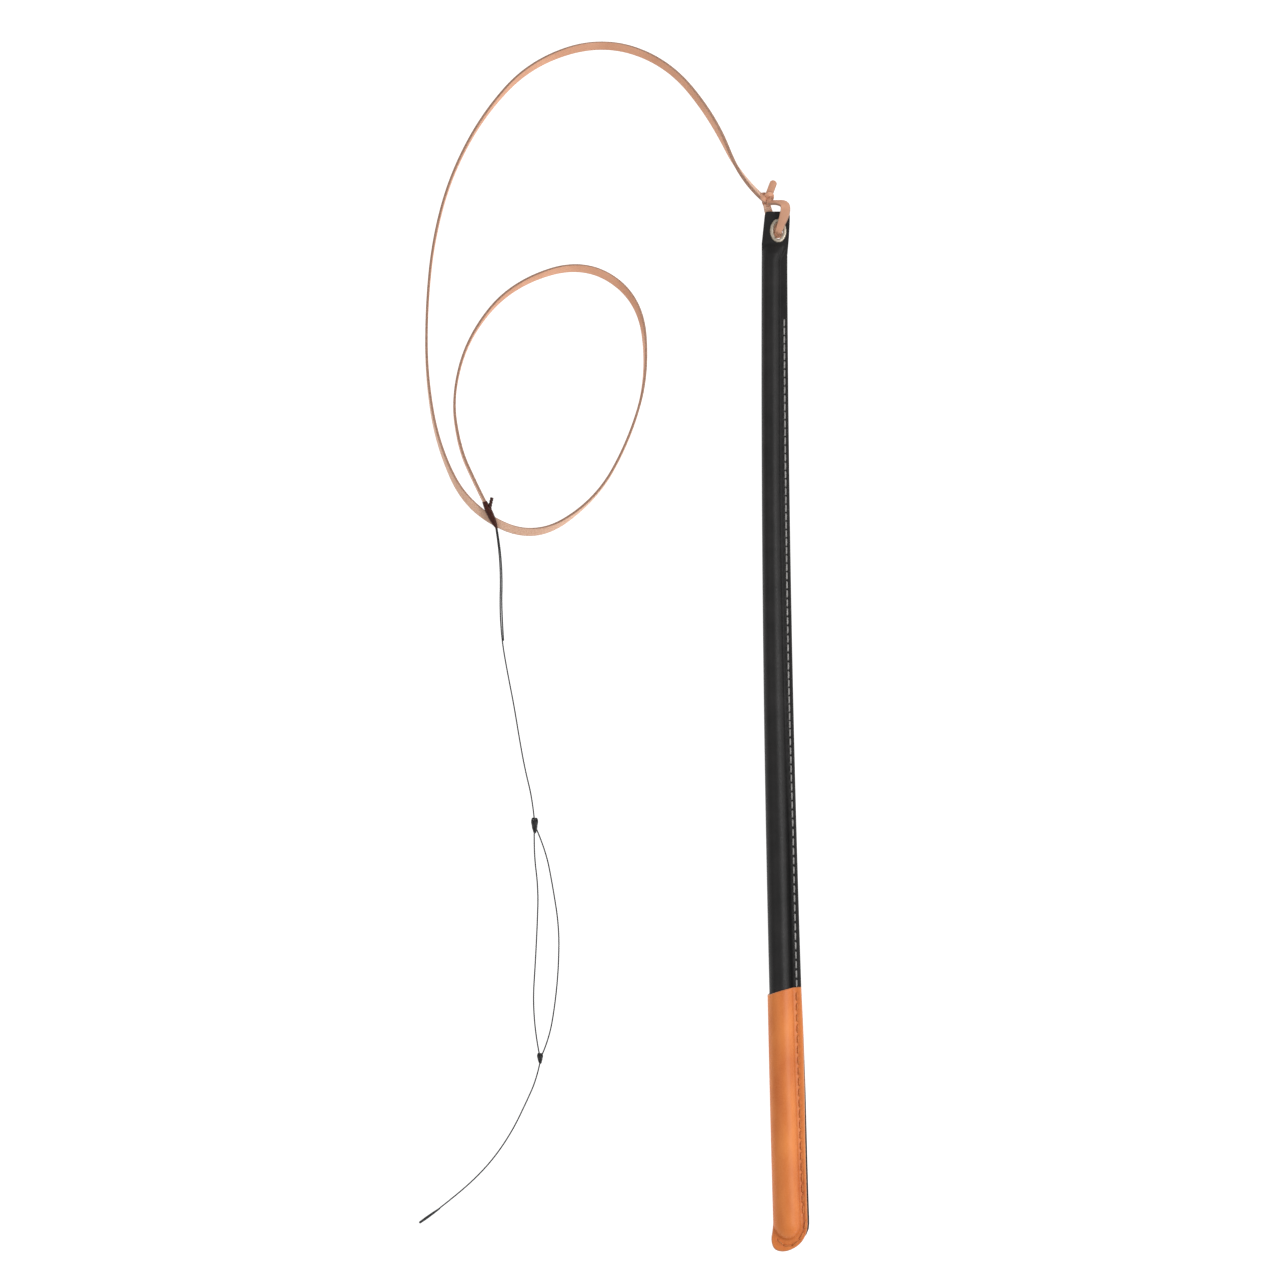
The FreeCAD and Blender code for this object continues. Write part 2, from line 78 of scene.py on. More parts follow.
BLACK_SHOWING = [(-0.2885, 0.0010), (-0.235, 0.0009), (-0.190, 0.0003), (-0.170, 0.0)]
BLACK_SHOWING_BUTT = [(-0.2965, -0.0004), (-0.2935, 0.0005), (-0.2885, 0.0010)]
GRIP_TOP = -147.5 * MM
GRIP_TOP_RIGHT = 7 * MM
GRIP_TOP_CURVE = 0.0135 / MM

# Lace and thread
LACE_WIDTH = 4.8 * MM
LACE_THICKNESS = 1.5 * MM
LACE_THICKENING = [(0.0, 1.4), (0.06, 1.4), (0.14, 1.0)]
LACE_CORNER = 0.45 * MM
LACE_STEP = 1.0 * MM
SPLINE_STEPS = 24
STRAND = 0.9 * MM
PLIES = 3
FLOOR_GAP = 0.05 * MM

# Routes of the cords: the CAD part's points, moved a little where cords meet and cross
LOOP_ROUTE = [
    (-0.0035, 0.3052, 0.0046), (0.0012, 0.3052, 0.0078), (0.0056, 0.3036, 0.0098),
    (0.0056, 0.2990, 0.0102), (0.0036, 0.2935, 0.0103), (0.0014, 0.2880, 0.0088),
    (0.0013, 0.2882, 0.0040), (0.0012, 0.2854, 0.0026), (0.0010, 0.2862, 0.0013),
    (0.0002, 0.2928, 0.0017), (-0.0040, 0.2992, 0.0020), (-0.0049, 0.3048, 0.0030),
]
STUB_ROUTE = [(-0.0048, 0.3066, 0.0034), (-0.0028, 0.3120, 0.0029), (-0.0003, 0.3182, 0.0018)]
THONG_ROUTE = [
    (-0.0045, 0.3060, 0.0026), (-0.0190, 0.3180, 0.0014), (-0.0355, 0.3560, 0.00105),
    (-0.0615, 0.3880, 0.00105), (-0.0990, 0.4010, 0.00105), (-0.1395, 0.3885, 0.00105),
    (-0.1670, 0.3605, 0.00105), (-0.1870, 0.3250, 0.00105), (-0.1980, 0.2870, 0.00105),
    (-0.2025, 0.2470, 0.00105), (-0.2030, 0.2075, 0.00105), (-0.1970, 0.1675, 0.00105),
    (-0.1800, 0.1310, 0.00105), (-0.1420, 0.1120, 0.00105), (-0.1060, 0.1350, 0.00105),
    (-0.0860, 0.1700, 0.00105), (-0.0750, 0.2070, 0.00105), (-0.0785, 0.2510, 0.00105),
    (-0.1105, 0.2735, 0.00105), (-0.1530, 0.2605, 0.00105), (-0.1785, 0.2310, 0.00105),
    (-0.1885, 0.1960, 0.0012), (-0.1845, 0.1660, 0.0036), (-0.1760, 0.1465, 0.0046),
    (-0.1704, 0.1349, 0.0047),
]
HITCH_ROUTE = [(-0.1704, 0.1349, 0.0047), (-0.1635, 0.1194, 0.0046)]
HITCH_END_ROUTE = [(-0.1676, 0.1295, 0.0050), (-0.1670, 0.1335, 0.0061), (-0.1659, 0.1372, 0.0066)]
LINE_ROUTE = [
    (-0.1642, 0.1206, 0.0046), (-0.1626, 0.1090, 0.0040), (-0.1618, 0.0920, 0.0007),
    (-0.1626, 0.0730, 0.0005), (-0.1616, 0.0540, 0.0005), (-0.1586, 0.0355, 0.0005),
    (-0.1552, 0.0170, 0.0005), (-0.1524, -0.0020, 0.0005), (-0.1494, -0.0200, 0.0005),
    (-0.1452, -0.0380, 0.0005), (-0.1442, -0.0515, 0.0012),
]
SHORT_END_ROUTE = [
    (-0.1636, 0.1206, 0.0046), (-0.1618, 0.1090, 0.0036), (-0.1609, 0.0915, 0.0007),
    (-0.1617, 0.0730, 0.0005), (-0.1607, 0.0545, 0.0005),
]
LEFT_ROUTE = [
    (-0.1444, -0.0535, 0.0011), (-0.1450, -0.0680, 0.0005), (-0.1426, -0.0895, 0.0005),
    (-0.1436, -0.1110, 0.0005), (-0.1450, -0.1325, 0.0005), (-0.1467, -0.1540, 0.0005),
    (-0.1452, -0.1760, 0.0005), (-0.1430, -0.1870, 0.0009),
]
RIGHT_ROUTE = [
    (-0.1437, -0.0535, 0.0011), (-0.1380, -0.0670, 0.0005), (-0.1342, -0.0885, 0.0005),
    (-0.1310, -0.1110, 0.0005), (-0.1314, -0.1325, 0.0005), (-0.1336, -0.1545, 0.0005),
    (-0.1376, -0.1765, 0.0005), (-0.1426, -0.1870, 0.0009),
]
TAIL_ROUTE = [
    (-0.1427, -0.1880, 0.0009), (-0.1450, -0.1990, 0.0005), (-0.1520, -0.2140, 0.0005),
    (-0.1596, -0.2290, 0.0005), (-0.1695, -0.2435, 0.0005), (-0.1805, -0.2555, 0.0005),
    (-0.1940, -0.2670, 0.0005), (-0.2055, -0.2756, 0.00055),
]
WHIPPING_ROUTE = [(-0.2022, -0.2733, 0.0009), (-0.2142, -0.2816, 0.0009)]

# Knots as (centre, half sizes), bindings as radii at even steps, and how finely they are drawn
UPPER_KNOT = ((-0.1442, -0.0526, 0.0015), (0.0021, 0.0046, 0.0014))
LOWER_KNOT = ((-0.1430, -0.1874, 0.0013), (0.0018, 0.0032, 0.0012))
LACE_KNOT = ((-0.0048, 0.3074, 0.0031), (0.0040, 0.0038, 0.0029))
HITCH_RADII = [0.0015, 0.0019, 0.0021, 0.0021, 0.0019, 0.0015, 0.0007]
WHIPPING_RADII = [0.0005, 0.00075, 0.00085, 0.0007]
KNOT_STEPS = 96
KNOT_CENTRE = 0.45
KNOT_CORE = 0.8
THREAD_TWIST = 3.2 * MM
THREAD_STEP = 0.35 * MM
WINDING_SIDES = 16
WINDING_CORE_STEPS = 24

# Covers: how finely they are drawn, their fillets and ripples, and where they change
TUBE_POINTS = 13
FLANGE_POINTS = 12
FINE_STEP = 0.65 * MM
COARSE_STEP = 3 * MM
VALLEY_ROUNDING = 0.5 * MM
FOLD_START = 0.65
FOLD_SHADE_REACH = 0.16
SEAM_SHADE_REACH = 0.09
BLACK_FOLD = 0.7 * MM
TAN_FOLD = 2.4 * MM
RIPPLE = 0.06 * MM
SHEATH_END = -296 * MM
SLANT_END = -166 * MM
TIP_FLATTENING = (271 * MM, 279 * MM)
BUTT_CLOSING = (284 * MM, 292 * MM)

# Sheath's shoulder (place, middle, half width, half height) and its flat tip's outline
SHOULDER = [
    (0.2713,), (0.2756, -0.0026, 0.0057, 0.0049), (0.2785, -0.0019, 0.0061, 0.0035),
    (0.2813, -0.0007, 0.0066, 0.00125), (0.2835, 0.0, 0.0068, 0.0),
]
TIP_LEFT = [(0.270, -0.00846), (0.276, -0.0083), (0.2815, -0.00825), (0.2887, -0.0074)]
TIP_RIGHT = [(0.274, 0.00644), (0.2845, 0.0075), (0.2887, 0.0078)]
TIP_OUTLINE = [
    (0.0078, 0.2887), (0.0082, 0.2945), (0.00825, 0.2993), (0.0048, 0.2999), (-0.0032, 0.2999),
    (-0.0061, 0.2999), (-0.0067, 0.2945), (-0.0074, 0.2887),
]

# Butt: its dome, its outline from left to right, and its right side by distance from the middle
DOME_START = -0.2835
DOME_LENGTH = 0.0097
BUTT_OUTLINE = [
    (-0.0098, -0.2835), (-0.0100, -0.2875), (-0.0113, -0.2933), (-0.0096, -0.2990), (-0.0032, -0.3003),
    (0.0038, -0.2973), (0.0080, -0.2928), (0.0100, -0.2870), (0.0101, -0.2835),
]
BUTT_RIGHT = [(0.2835, 0.0101), (0.2870, 0.0097), (0.2902, 0.0085), (0.2930, 0.0068), (0.2960, 0.0044)]

# Seams, as in the CAD part
SHAFT_STITCHES = 76
SHAFT_SEAM = [(0, -0.1455), (17, -0.053), (27, -0.001), (34, 0.0324), (45, 0.0896), (75, 0.2356)]
SHAFT_SEAM_REACH = [
    (-0.1455, 0.0094), (-0.060, 0.0092), (0.030, 0.00805), (0.130, 0.0074), (0.2356, 0.0067),
]
SHAFT_STITCH = 3.7 * MM
GRIP_STITCHES = 21
GRIP_SEAM = -152.9 * MM
GRIP_SEAM_REACH = 9.4 * MM
GRIP_PITCH = 6.14 * MM
GRIP_STITCH = 4.3 * MM
BUTT_SEAM = (-0.0009, -0.280)
BUTT_SEAM_HALF = (0.0098, 0.0163)
BUTT_STITCHES = 5
SEAM_THREAD = 1.1 * MM
SEAM_TWIST = 2.6 * MM
SEAM_STEP = 0.3 * MM
THREAD_RISE = 0.25 * MM
THREAD_SINK = 0.5 * MM

# Eyelet, as in the CAD part
EYELET_X = 1.3 * MM
EYELET_Y = 288.7 * MM
EYELET_HOLE = (2.7 * MM, 4.7 * MM)
EYELET_WALL = 0.4 * MM
EYELET_FLANGE = 2.2 * MM
EYELET_THICKNESS = 0.55 * MM
EYELET_SIDES = 72

# Light: name, place, size and power, and the even light from all round
LIGHTS = [
    ("key", (1.15, -0.1, 1.0), 0.8, 12.5),
    ("fill", (-0.9, 0.1, 1.7), 1.4, 4.6),
]
WORLD_LIGHT = 0.5
FLOOR_GLOW = 0.95
FLOOR_SIZE = 8.0

# Turn of the lace by its distance in mm from the knot: at 0 one face is up, at 90 it stands on
# its edge, at 180 the other face is up.
LACE_TURNS = [
    (0, 122), (18, 114), (30, 92), (42, 68), (60, 54), (90, 50), (118, 38), (141, 18),
    (153, 36), (178, 58), (192, 66), (208, 76), (227, 83), (251, 88), (313, 90), (336, 92),
    (371, 96), (394, 102), (418, 110), (442, 122), (460, 160), (472, 178), (488, 178),
    (504, 140), (516, 113), (531, 99), (547, 92), (592, 90), (604, 86), (627, 77), (650, 60),
    (672, 32), (686, 20), (700, 34), (724, 57), (751, 72), (767, 85), (793, 90), (816, 93),
    (840, 101), (878, 104),
]


# ---- curves and meshes

def between(value, low, high):
    """Share of the way from low to high, from 0 to 1."""
    return min(1.0, max(0.0, (value - low) / (high - low)))


def eased(value, low, high):
    """Share of the way from low to high, starting and ending gently."""
    t = between(value, low, high)
    return t * t * (3 - 2 * t)


def on_keys(keys, place):
    """Value at a place on a line through (place, value) keys."""
    for (a, value_a), (b, value_b) in zip(keys, keys[1:]):
        if place <= b:
            return value_a + (value_b - value_a) * between(place, a, b)
    return keys[-1][1]


def spline_points(route):
    """Points of the smooth spline that a route controls."""
    curve = bpy.data.curves.new("route", "CURVE")
    curve.dimensions = "3D"
    curve.resolution_u = SPLINE_STEPS
    spline = curve.splines.new("NURBS")
    spline.points.add(len(route) - 1)
    for point, place in zip(spline.points, route):
        point.co = (*place, 1.0)
    spline.order_u = 3
    spline.use_endpoint_u = True
    holder = bpy.data.objects.new("route", curve)
    mesh = bpy.data.meshes.new_from_object(holder)
    points = [vertex.co.copy() for vertex in mesh.vertices]
    bpy.data.objects.remove(holder)
    bpy.data.meshes.remove(mesh)
    bpy.data.curves.remove(curve)
    return points


def distances(points):
    """Distance along a line of points to each of them."""
    run = [0.0]
    for a, b in zip(points, points[1:]):
        run.append(run[-1] + (b - a).length)
    return run


def spaced(points, step):
    """Points at even steps along a line of points."""
    run = distances(points)
    count = max(2, round(run[-1] / step))
    made = []
    i = 0
    for k in range(count + 1):
        target = run[-1] * k / count
        while i < len(points) - 2 and run[i + 1] < target:
            i += 1
        share = between(target, run[i], run[i + 1])
        made.append(points[i].lerp(points[i + 1], share))
    return made


def carried(points, up):
    """Side and up at each point, with up carried along so that it doesn't spin."""
    axes = []
    up = Vector(up)
    ends = [points[0], *points, points[-1]]
    for before, after in zip(ends, ends[2:]):
        heading = (after - before).normalized()
        up = (up - heading * up.dot(heading)).normalized()
        axes.append((heading.cross(up), up))
    return axes


def lace_section(width=LACE_WIDTH):
    """Flat section of the lace with round corners, as (across, up) pairs, anticlockwise."""
    pairs = []
    for quarter, (sx, sy) in enumerate([(1, 1), (-1, 1), (-1, -1), (1, -1)]):
        for k in range(4):
            angle = math.radians(90 * (quarter + k / 3))
            x = sx * (width / 2 - LACE_CORNER) + LACE_CORNER * math.cos(angle)
            y = sy * (LACE_THICKNESS / 2 - LACE_CORNER) + LACE_CORNER * math.sin(angle)
            pairs.append((x, y))
        if sx == sy:
            pairs.append((0.0, sy * LACE_THICKNESS / 2))
    return pairs


def round_section(diameter, sides, lobes=0, depth=0.0):
    """Round section; lobes make it that of plied thread."""
    pairs = []
    for k in range(sides):
        angle = math.tau * k / sides
        radius = diameter / 2 * (1 - depth / 2 + depth / 2 * math.cos(lobes * angle))
        pairs.append((radius * math.cos(angle), radius * math.sin(angle)))
    return pairs


def in_scene(name, data):
    """New object in the scene."""
    made = bpy.data.objects.new(name, data)
    bpy.context.scene.collection.objects.link(made)
    return made


def mesh_object(name, vertices, faces, material):
    """New smooth object from vertices and faces, in a material."""
    mesh = bpy.data.meshes.new(name)
    mesh.from_pydata(vertices, [], faces)
    mesh.validate()
    mesh.shade_smooth()
    mesh.materials.append(material)
    return in_scene(name, mesh)


def skin(rings, closed_ends=True):
    """Vertices and faces of a tube through rings of equal count."""
    n = len(rings[0])
    vertices = [point for ring in rings for point in ring]
    faces = []
    for i in range(len(rings) - 1):
        for k in range(n):
            a, b = i * n + k, i * n + (k + 1) % n
            faces.append((a, a + n, b + n, b))
    if closed_ends:
        last = (len(rings) - 1) * n
        faces.append(tuple(range(n)))
        faces.append(tuple(reversed(range(last, last + n))))
    return vertices, faces


def joined(parts):
    """One list of vertices and faces from several."""
    vertices, faces = [], []
    for part_vertices, part_faces in parts:
        first = len(vertices)
        vertices += part_vertices
        faces += [tuple(first + k for k in face) for face in part_faces]
    return vertices, faces


def point_value(obj, name, values):
    """Stores one number on each vertex, for the material to read."""
    attribute = obj.data.attributes.new(name, "FLOAT", "POINT")
    attribute.data.foreach_set("value", values)


def ring(point, section, side, top, degrees=0.0, size=(1.0, 1.0)):
    """A section round a point, turned and scaled in the plane of side and top."""
    angle = math.radians(degrees)
    out = side * math.cos(angle) + top * math.sin(angle)
    face = top * math.cos(angle) - side * math.sin(angle)
    return [point + out * (x * size[0]) + face * (y * size[1]) for x, y in section]


def swept(points, section, up=(0, 0, 1), turn=lambda run: 0.0, size=lambda run: (1.0, 1.0)):
    """Rings of a section carried along points. turn and size are functions of the distance."""
    rings = []
    for point, run, (side, top) in zip(points, distances(points), carried(points, up)):
        rings.append(ring(point, section, side, top, turn(run), size(run)))
    return rings


def place(piece, body, slot, node_name):
    """Puts a piece on its body and in place of its CAD node; its slot is not used."""
    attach(piece, body)
    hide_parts(node_name)
    return piece


# ---- camera, floor and light

def camera():
    """Camera straight above, with the photo's width filling its view."""
    data = bpy.data.cameras.new("camera")
    data.sensor_width = SENSOR
    data.lens = LENS
    data.clip_end = 20.0
    made = in_scene("camera", data)
    made.location = (*VIEW_CENTRE, VIEW_HEIGHT + VIEW_WIDTH * LENS / SENSOR)
    made.rotation_euler = (0, 0, math.radians(VIEW_TURN))
    bpy.context.scene.camera = made


def lights():
    """Soft square lights aimed at the view's middle, and even light from all round."""
    for name, place_at, size, watts in LIGHTS:
        data = bpy.data.lights.new(name, "AREA")
        data.shape = "SQUARE"
        data.size = size
        data.energy = watts
        made = in_scene(name, data)
        made.location = place_at
        direction = Vector((*VIEW_CENTRE, 0)) - made.location
        made.rotation_euler = direction.to_track_quat("-Z", "Y").to_euler()
    world = bpy.data.worlds.new("studio")
    world.use_nodes = True
    background = world.node_tree.nodes["Background"]
    background.inputs["Color"].default_value = (1, 1, 1, 1)
    background.inputs["Strength"].default_value = WORLD_LIGHT
    bpy.context.scene.world = world
    bpy.context.scene.view_settings.view_transform = "Standard"


# ---- materials

def srgb(red, green, blue):
    """Colour from 0 to 255 as the linear values that shaders take."""
    linear = []
    for value in (red, green, blue):
        share = value / 255
        linear.append(share / 12.92 if share < 0.04 else ((share + 0.055) / 1.055) ** 2.4)
    return (*linear, 1.0)


def shader(name, specular, **constants):
    """New material with constants set, and its socket for the place on the object."""
    material = bpy.data.materials.new(name)
    material.use_nodes = True
    nodes = material.node_tree.nodes
    for socket, value in {"Specular IOR Level": specular, **constants}.items():
        nodes["Principled BSDF"].inputs[socket].default_value = value
    return material, nodes.new("ShaderNodeTexCoord").outputs["Object"]


def node(beside, kind, inputs, **settings):
    """Adds a node to the tree of a socket. Inputs are numbers, colours or sockets."""
    tree = beside.id_data
    made = tree.nodes.new("ShaderNode" + kind)
    for key, value in settings.items():
        setattr(made, key, value)
    for key, value in inputs.items():
        if isinstance(value, bpy.types.NodeSocket):
            tree.links.new(value, made.inputs[key])
        else:
            made.inputs[key].default_value = value
    return made


def mixed(share, a, b):
    """Colour between a and b: a Mix node's sockets 0, 6 and 7 are those of colours."""
    return node(share, "Mix", {0: share, 6: a, 7: b}, data_type="RGBA").outputs[2]


def ranged(value, to_low=0.0, to_high=1.0, low=0.3, high=0.7):
    """A value moved from the range of noise, or from low to high, to a new range, kept inside."""
    inputs = {"Value": value, "From Min": low, "From Max": high, "To Min": to_low, "To Max": to_high}
    return node(value, "MapRange", inputs).outputs["Result"]


def cloud(spot, scale, detail=3.0, stretch=(1, 1, 1)):
    """Soft noise of about 1/scale metres, stretched along an axis if wanted."""
    mapping = node(spot, "Mapping", {"Vector": spot, "Scale": stretch})
    inputs = {"Vector": mapping.outputs["Vector"], "Scale": scale, "Detail": detail}
    return node(spot, "TexNoise", inputs).outputs["Fac"]


def stored(spot, name, most=1.0, least=0.0):
    """The number from 0 to 1 that point_value() stored, spread from least to most."""
    value = node(spot, "Attribute", {}, attribute_name=name).outputs["Fac"]
    return ranged(value, least, most, 0.0, 1.0)


def finished(material, colour, roughness, bumps):
    """The material with its colour, its roughness, and bumps as (height, strength, depth)."""
    tree = material.node_tree
    surface = tree.nodes["Principled BSDF"]
    normal = None
    for height, strength, depth in bumps:
        inputs = {"Height": height, "Strength": strength, "Distance": depth}
        if normal:
            inputs["Normal"] = normal
        normal = node(colour, "Bump", inputs).outputs["Normal"]
    for socket, value in (("Base Color", colour), ("Roughness", roughness), ("Normal", normal)):
        tree.links.new(value, surface.inputs[socket])
    return material


def grain(spot, scale):
    """Pebbled leather grain: cells with soft valleys between them."""
    inputs = {"Vector": spot, "Scale": scale, "Smoothness": 0.6}
    return node(spot, "TexVoronoi", inputs, feature="SMOOTH_F1").outputs["Distance"]


def black_leather():
    """Smooth black sheath leather: faint grain, softly rubbed along its edges, painted shade in its fold.
    """
    material, spot = shader("black_leather", 0.3)
    blotch = cloud(spot, 90.0)
    fine = cloud(spot, 1400.0, 5.0)
    colour = mixed(ranged(blotch), srgb(20, 19, 19), srgb(32, 30, 30))
    # Painted shade: the fold beside the seam flange is darkened nearly to black.
    colour = mixed(stored(spot, "painted_crease_shade", 0.9), colour, srgb(4, 4, 4))
    colour = mixed(stored(spot, "edge", 0.55), colour, srgb(62, 56, 50))
    worn = ranged(fine, 0.42, 0.58)
    dull = node(worn, "Math", {0: worn, 1: stored(spot, "painted_crease_shade")}, operation="ADD").outputs["Value"]
    return finished(material, colour, dull, [
        (cloud(spot, 160.0, 2.0, (1, 0.35, 1)), 0.35, 0.3 * MM),
        (grain(spot, 1300.0), 0.35, 0.10 * MM),
        (fine, 0.25, 0.05 * MM),
    ])


def tan_leather():
    """Tan grip leather: mottled orange brown, paler at cut edges, with painted shade in its creases."""
    material, spot = shader("tan_leather", 0.4)
    blotch = cloud(spot, 70.0, 4.0, (1, 0.4, 1))
    pores = cloud(spot, 1800.0, 4.0)
    colour = mixed(ranged(blotch), srgb(208, 106, 42), srgb(236, 138, 64))
    colour = mixed(ranged(pores, 0.0, 0.25, 0.35, 0.75), colour, srgb(240, 165, 100))
    # Painted shade: the fold and the line beside the seam are darkened.
    colour = mixed(stored(spot, "painted_crease_shade", 0.8), colour, srgb(150, 62, 28))
    colour = mixed(stored(spot, "edge", 0.85), colour, srgb(190, 140, 112))
    return finished(material, colour, ranged(pores, 0.38, 0.56), [
        (blotch, 0.3, 0.3 * MM),
        (grain(spot, 1500.0), 0.4, 0.10 * MM),
        (pores, 0.3, 0.05 * MM),
    ])


def lace_leather():
    """Natural lace leather: a smoother face, a paler fibrous one, and burnished brown edges."""
    material, spot = shader("lace_leather", 0.35)
    blotch = cloud(spot, 55.0, 4.0)
    fibre = cloud(spot, 1500.0, 5.0)
    face = mixed(ranged(blotch), srgb(212, 154, 122), srgb(232, 176, 144))
    flesh = mixed(ranged(fibre), srgb(218, 170, 142), srgb(240, 200, 174))
    colour = mixed(stored(spot, "flesh"), face, flesh)
    edge = mixed(ranged(fibre, 0.0, 1.0, 0.35, 0.65), srgb(152, 114, 94), srgb(186, 146, 124))
    colour = mixed(stored(spot, "edge"), colour, edge)
    return finished(material, colour, ranged(fibre, 0.5, 0.72), [
        (blotch, 0.3, 0.3 * MM),
        (grain(spot, 1700.0), 0.35, 0.08 * MM),
        (fibre, 0.4, 0.06 * MM),
    ])


def thread(name, dark, light, roughness):
    """Plied thread: painted shade in the grooves between its plies, with fine fibres."""
    material, spot = shader(name, 0.35)
    fibre = cloud(spot, 5000.0, 3.0)
    patch = cloud(spot, 120.0, 2.0)
    # Painted shade: the grooves and hidden cores take the dark colour, the ridges the light one.
    colour = mixed(stored(spot, "painted_ply_light", 1.0, 0.15), dark, light)
    colour = mixed(ranged(patch, 0.0, 0.35, 0.35, 0.65), colour, dark)
    rough = ranged(fibre, roughness - 0.08, roughness + 0.08)
    return finished(material, colour, rough, [(fibre, 0.4, 0.05 * MM)])


def eyelet_metal():
    """Dulled plated brass, brushed by the lace that runs through it."""
    material, spot = shader("eyelet_metal", 0.5, Metallic=0.85)
    dull = cloud(spot, 500.0, 4.0)
    scratch = cloud(spot, 900.0, 3.0, (1, 8, 1))
    colour = mixed(ranged(dull, 0.0, 1.0, 0.35, 0.7), srgb(176, 164, 146), srgb(214, 203, 186))
    rough = ranged(dull, 0.36, 0.58)
    return finished(material, colour, rough, [(scratch, 0.2, 0.03 * MM)])


def cane():
    """Pale cane with grain along it, for the hidden rod."""
    material, spot = shader("core_cane", 0.4)
    streak = cloud(spot, 700.0, 4.0, (1, 0.04, 1))
    colour = mixed(ranged(streak), srgb(178, 140, 88), srgb(216, 184, 128))
    rough = ranged(streak, 0.4, 0.6)
    return finished(material, colour, rough, [(streak, 0.3, 0.1 * MM)])


def floor():
    """Plain pale floor, lit a little from within so that it stays even."""
    glow = {"Emission Color": (1, 1, 1, 1), "Emission Strength": FLOOR_GLOW}
    material, spot = shader("floor", 0.1, Roughness=0.9, **glow)
    tone = mixed(cloud(spot, 3.0), srgb(140, 140, 140), srgb(148, 148, 148))
    tree = material.node_tree
    tree.links.new(tone, tree.nodes["Principled BSDF"].inputs["Base Color"])
    half = FLOOR_SIZE / 2
    corners = [(-half, -half, 0), (half, -half, 0), (half, half, 0), (-half, half, 0)]
    mesh_object("floor", corners, [(0, 1, 2, 3)], material)


# ---- lace

def lace_size(run):
    """The lace is thicker near the knot, and narrower at its far end."""
    return on_keys([(0, 1.0), (0.84, 1.0), (0.88, 0.85)], run), on_keys(LACE_THICKENING, run)


def lace_piece(name, node_name, rings, section, material):
    """Lace object in place of its CAD node, with its edges and its under face marked."""
    made = mesh_object(name, *skin(rings), material)
    half = max(x for x, _ in section)
    edge = [eased(abs(x), half * 0.86, half * 0.97) for x, _ in section]
    flesh = [0.0 if y > 0 else 1.0 for _, y in section]
    point_value(made, "edge", edge * len(rings))
    point_value(made, "flesh", flesh * len(rings))
    return place(made, "thong", "lace_leather", node_name)


def lace_turn(run):
    """Turn of the lace at a distance from the knot, evened out over a few centimetres."""
    steps = [-12, -8, -4, 0, 4, 8, 12]
    return sum(on_keys(LACE_TURNS, run / MM + step) for step in steps) / len(steps)


def on_floor(points, turn, size):
    """Lifts points so that a flat lace, turned about them, lies on the floor."""
    lifted = []
    for point, run in zip(points, distances(points)):
        angle = math.radians(turn(run))
        wide, thick = size(run)
        high = LACE_WIDTH * wide * abs(math.sin(angle)) + LACE_THICKNESS * thick * abs(math.cos(angle))
        lifted.append(Vector((point.x, point.y, max(point.z, high / 2 + FLOOR_GAP))))
    return lifted


def long_lace(material):
    """The thong from its knot to the hitch, and the line that it follows."""
    path = on_floor(spaced(spline_points(THONG_ROUTE), LACE_STEP), lace_turn, lace_size)
    rings = swept(path, lace_section(), turn=lace_turn, size=lace_size)
    return lace_piece("long_lace", "thong", rings, lace_section(), material), path


def loop_turn(run):
    """The loop stands on its edge beyond the tip, and lies flat in front of the tip and behind it."""
    keys = [(0, 58), (5, 60), (9, 48), (14, 12), (22, 6), (28, 36), (32, 50), (34, 85), (60, 85)]
    return on_keys(keys, run / MM)


def loop_size(run):
    """The loop is broad in front of the tip and folded narrow where it goes through the eyelet."""
    keys = [(0, 0.8), (6, 0.9), (11, 1.15), (16, 1.2), (22, 0.95), (27, 0.8), (32, 0.8), (35, 1.3),
            (52, 0.9)]
    return on_keys(keys, run / MM), 1.1


def loop_piece(material):
    """The lace's end, through the eyelet and back, and the line that it follows."""
    path = spaced(spline_points(LOOP_ROUTE), 0.5 * MM)
    rings = swept(path, lace_section(), turn=loop_turn, size=loop_size)
    return lace_piece("lace_loop", "thong_loop", rings, lace_section(), material), path


def stub_piece(material):
    """The lace's short cut end, rounded at its tip."""
    path = spaced(spline_points(STUB_ROUTE), 0.4 * MM)
    length = distances(path)[-1]

    def size(run):
        left = between(length - run, 0, 1.8 * MM)
        return 0.88 * math.sqrt(0.12 + 0.88 * (1 - (1 - left) ** 2)), 1.0

    rings = swept(path, lace_section(), turn=lambda run: 12.0, size=size)
    return lace_piece("lace_stub", "thong_stub", rings, lace_section(), material)


def overhand_path(centre, half_sizes, inset):
    """Closed line of an overhand knot, pulled to half sizes."""
    points = []
    for k in range(KNOT_STEPS):
        t = math.tau * k / KNOT_STEPS
        x = (math.sin(t) + 2 * math.sin(2 * t)) / 3
        y = (math.cos(t) - 2 * math.cos(2 * t) + KNOT_CENTRE) / (3 - KNOT_CENTRE)
        z = -math.sin(3 * t)
        local = [value * (half - inset) for value, half in zip((x, y, z), half_sizes)]
        points.append(Vector(centre) + Vector(local))
    return points


def knot_rings(path, section, turn):
    """Rings round a closed line, with the last ring back on the first."""
    rings = []
    count = len(path)
    for k in range(count + 1):
        point = path[k % count]
        heading = (path[(k + 1) % count] - path[(k - 1) % count]).normalized()
        side = heading.cross(Vector((0, 0, 1))).normalized()
        rings.append(ring(point, section, side, side.cross(heading), turn))
    return rings


def lace_knot(material):
    """The lace tied round itself beyond the tip."""
    section = lace_section(2.9 * MM)
    rings = knot_rings(overhand_path(*LACE_KNOT, 0.9 * MM), section, 15.0)
    return lace_piece("lace_knot", "thong_knot", rings, section, material)


# ---- thread

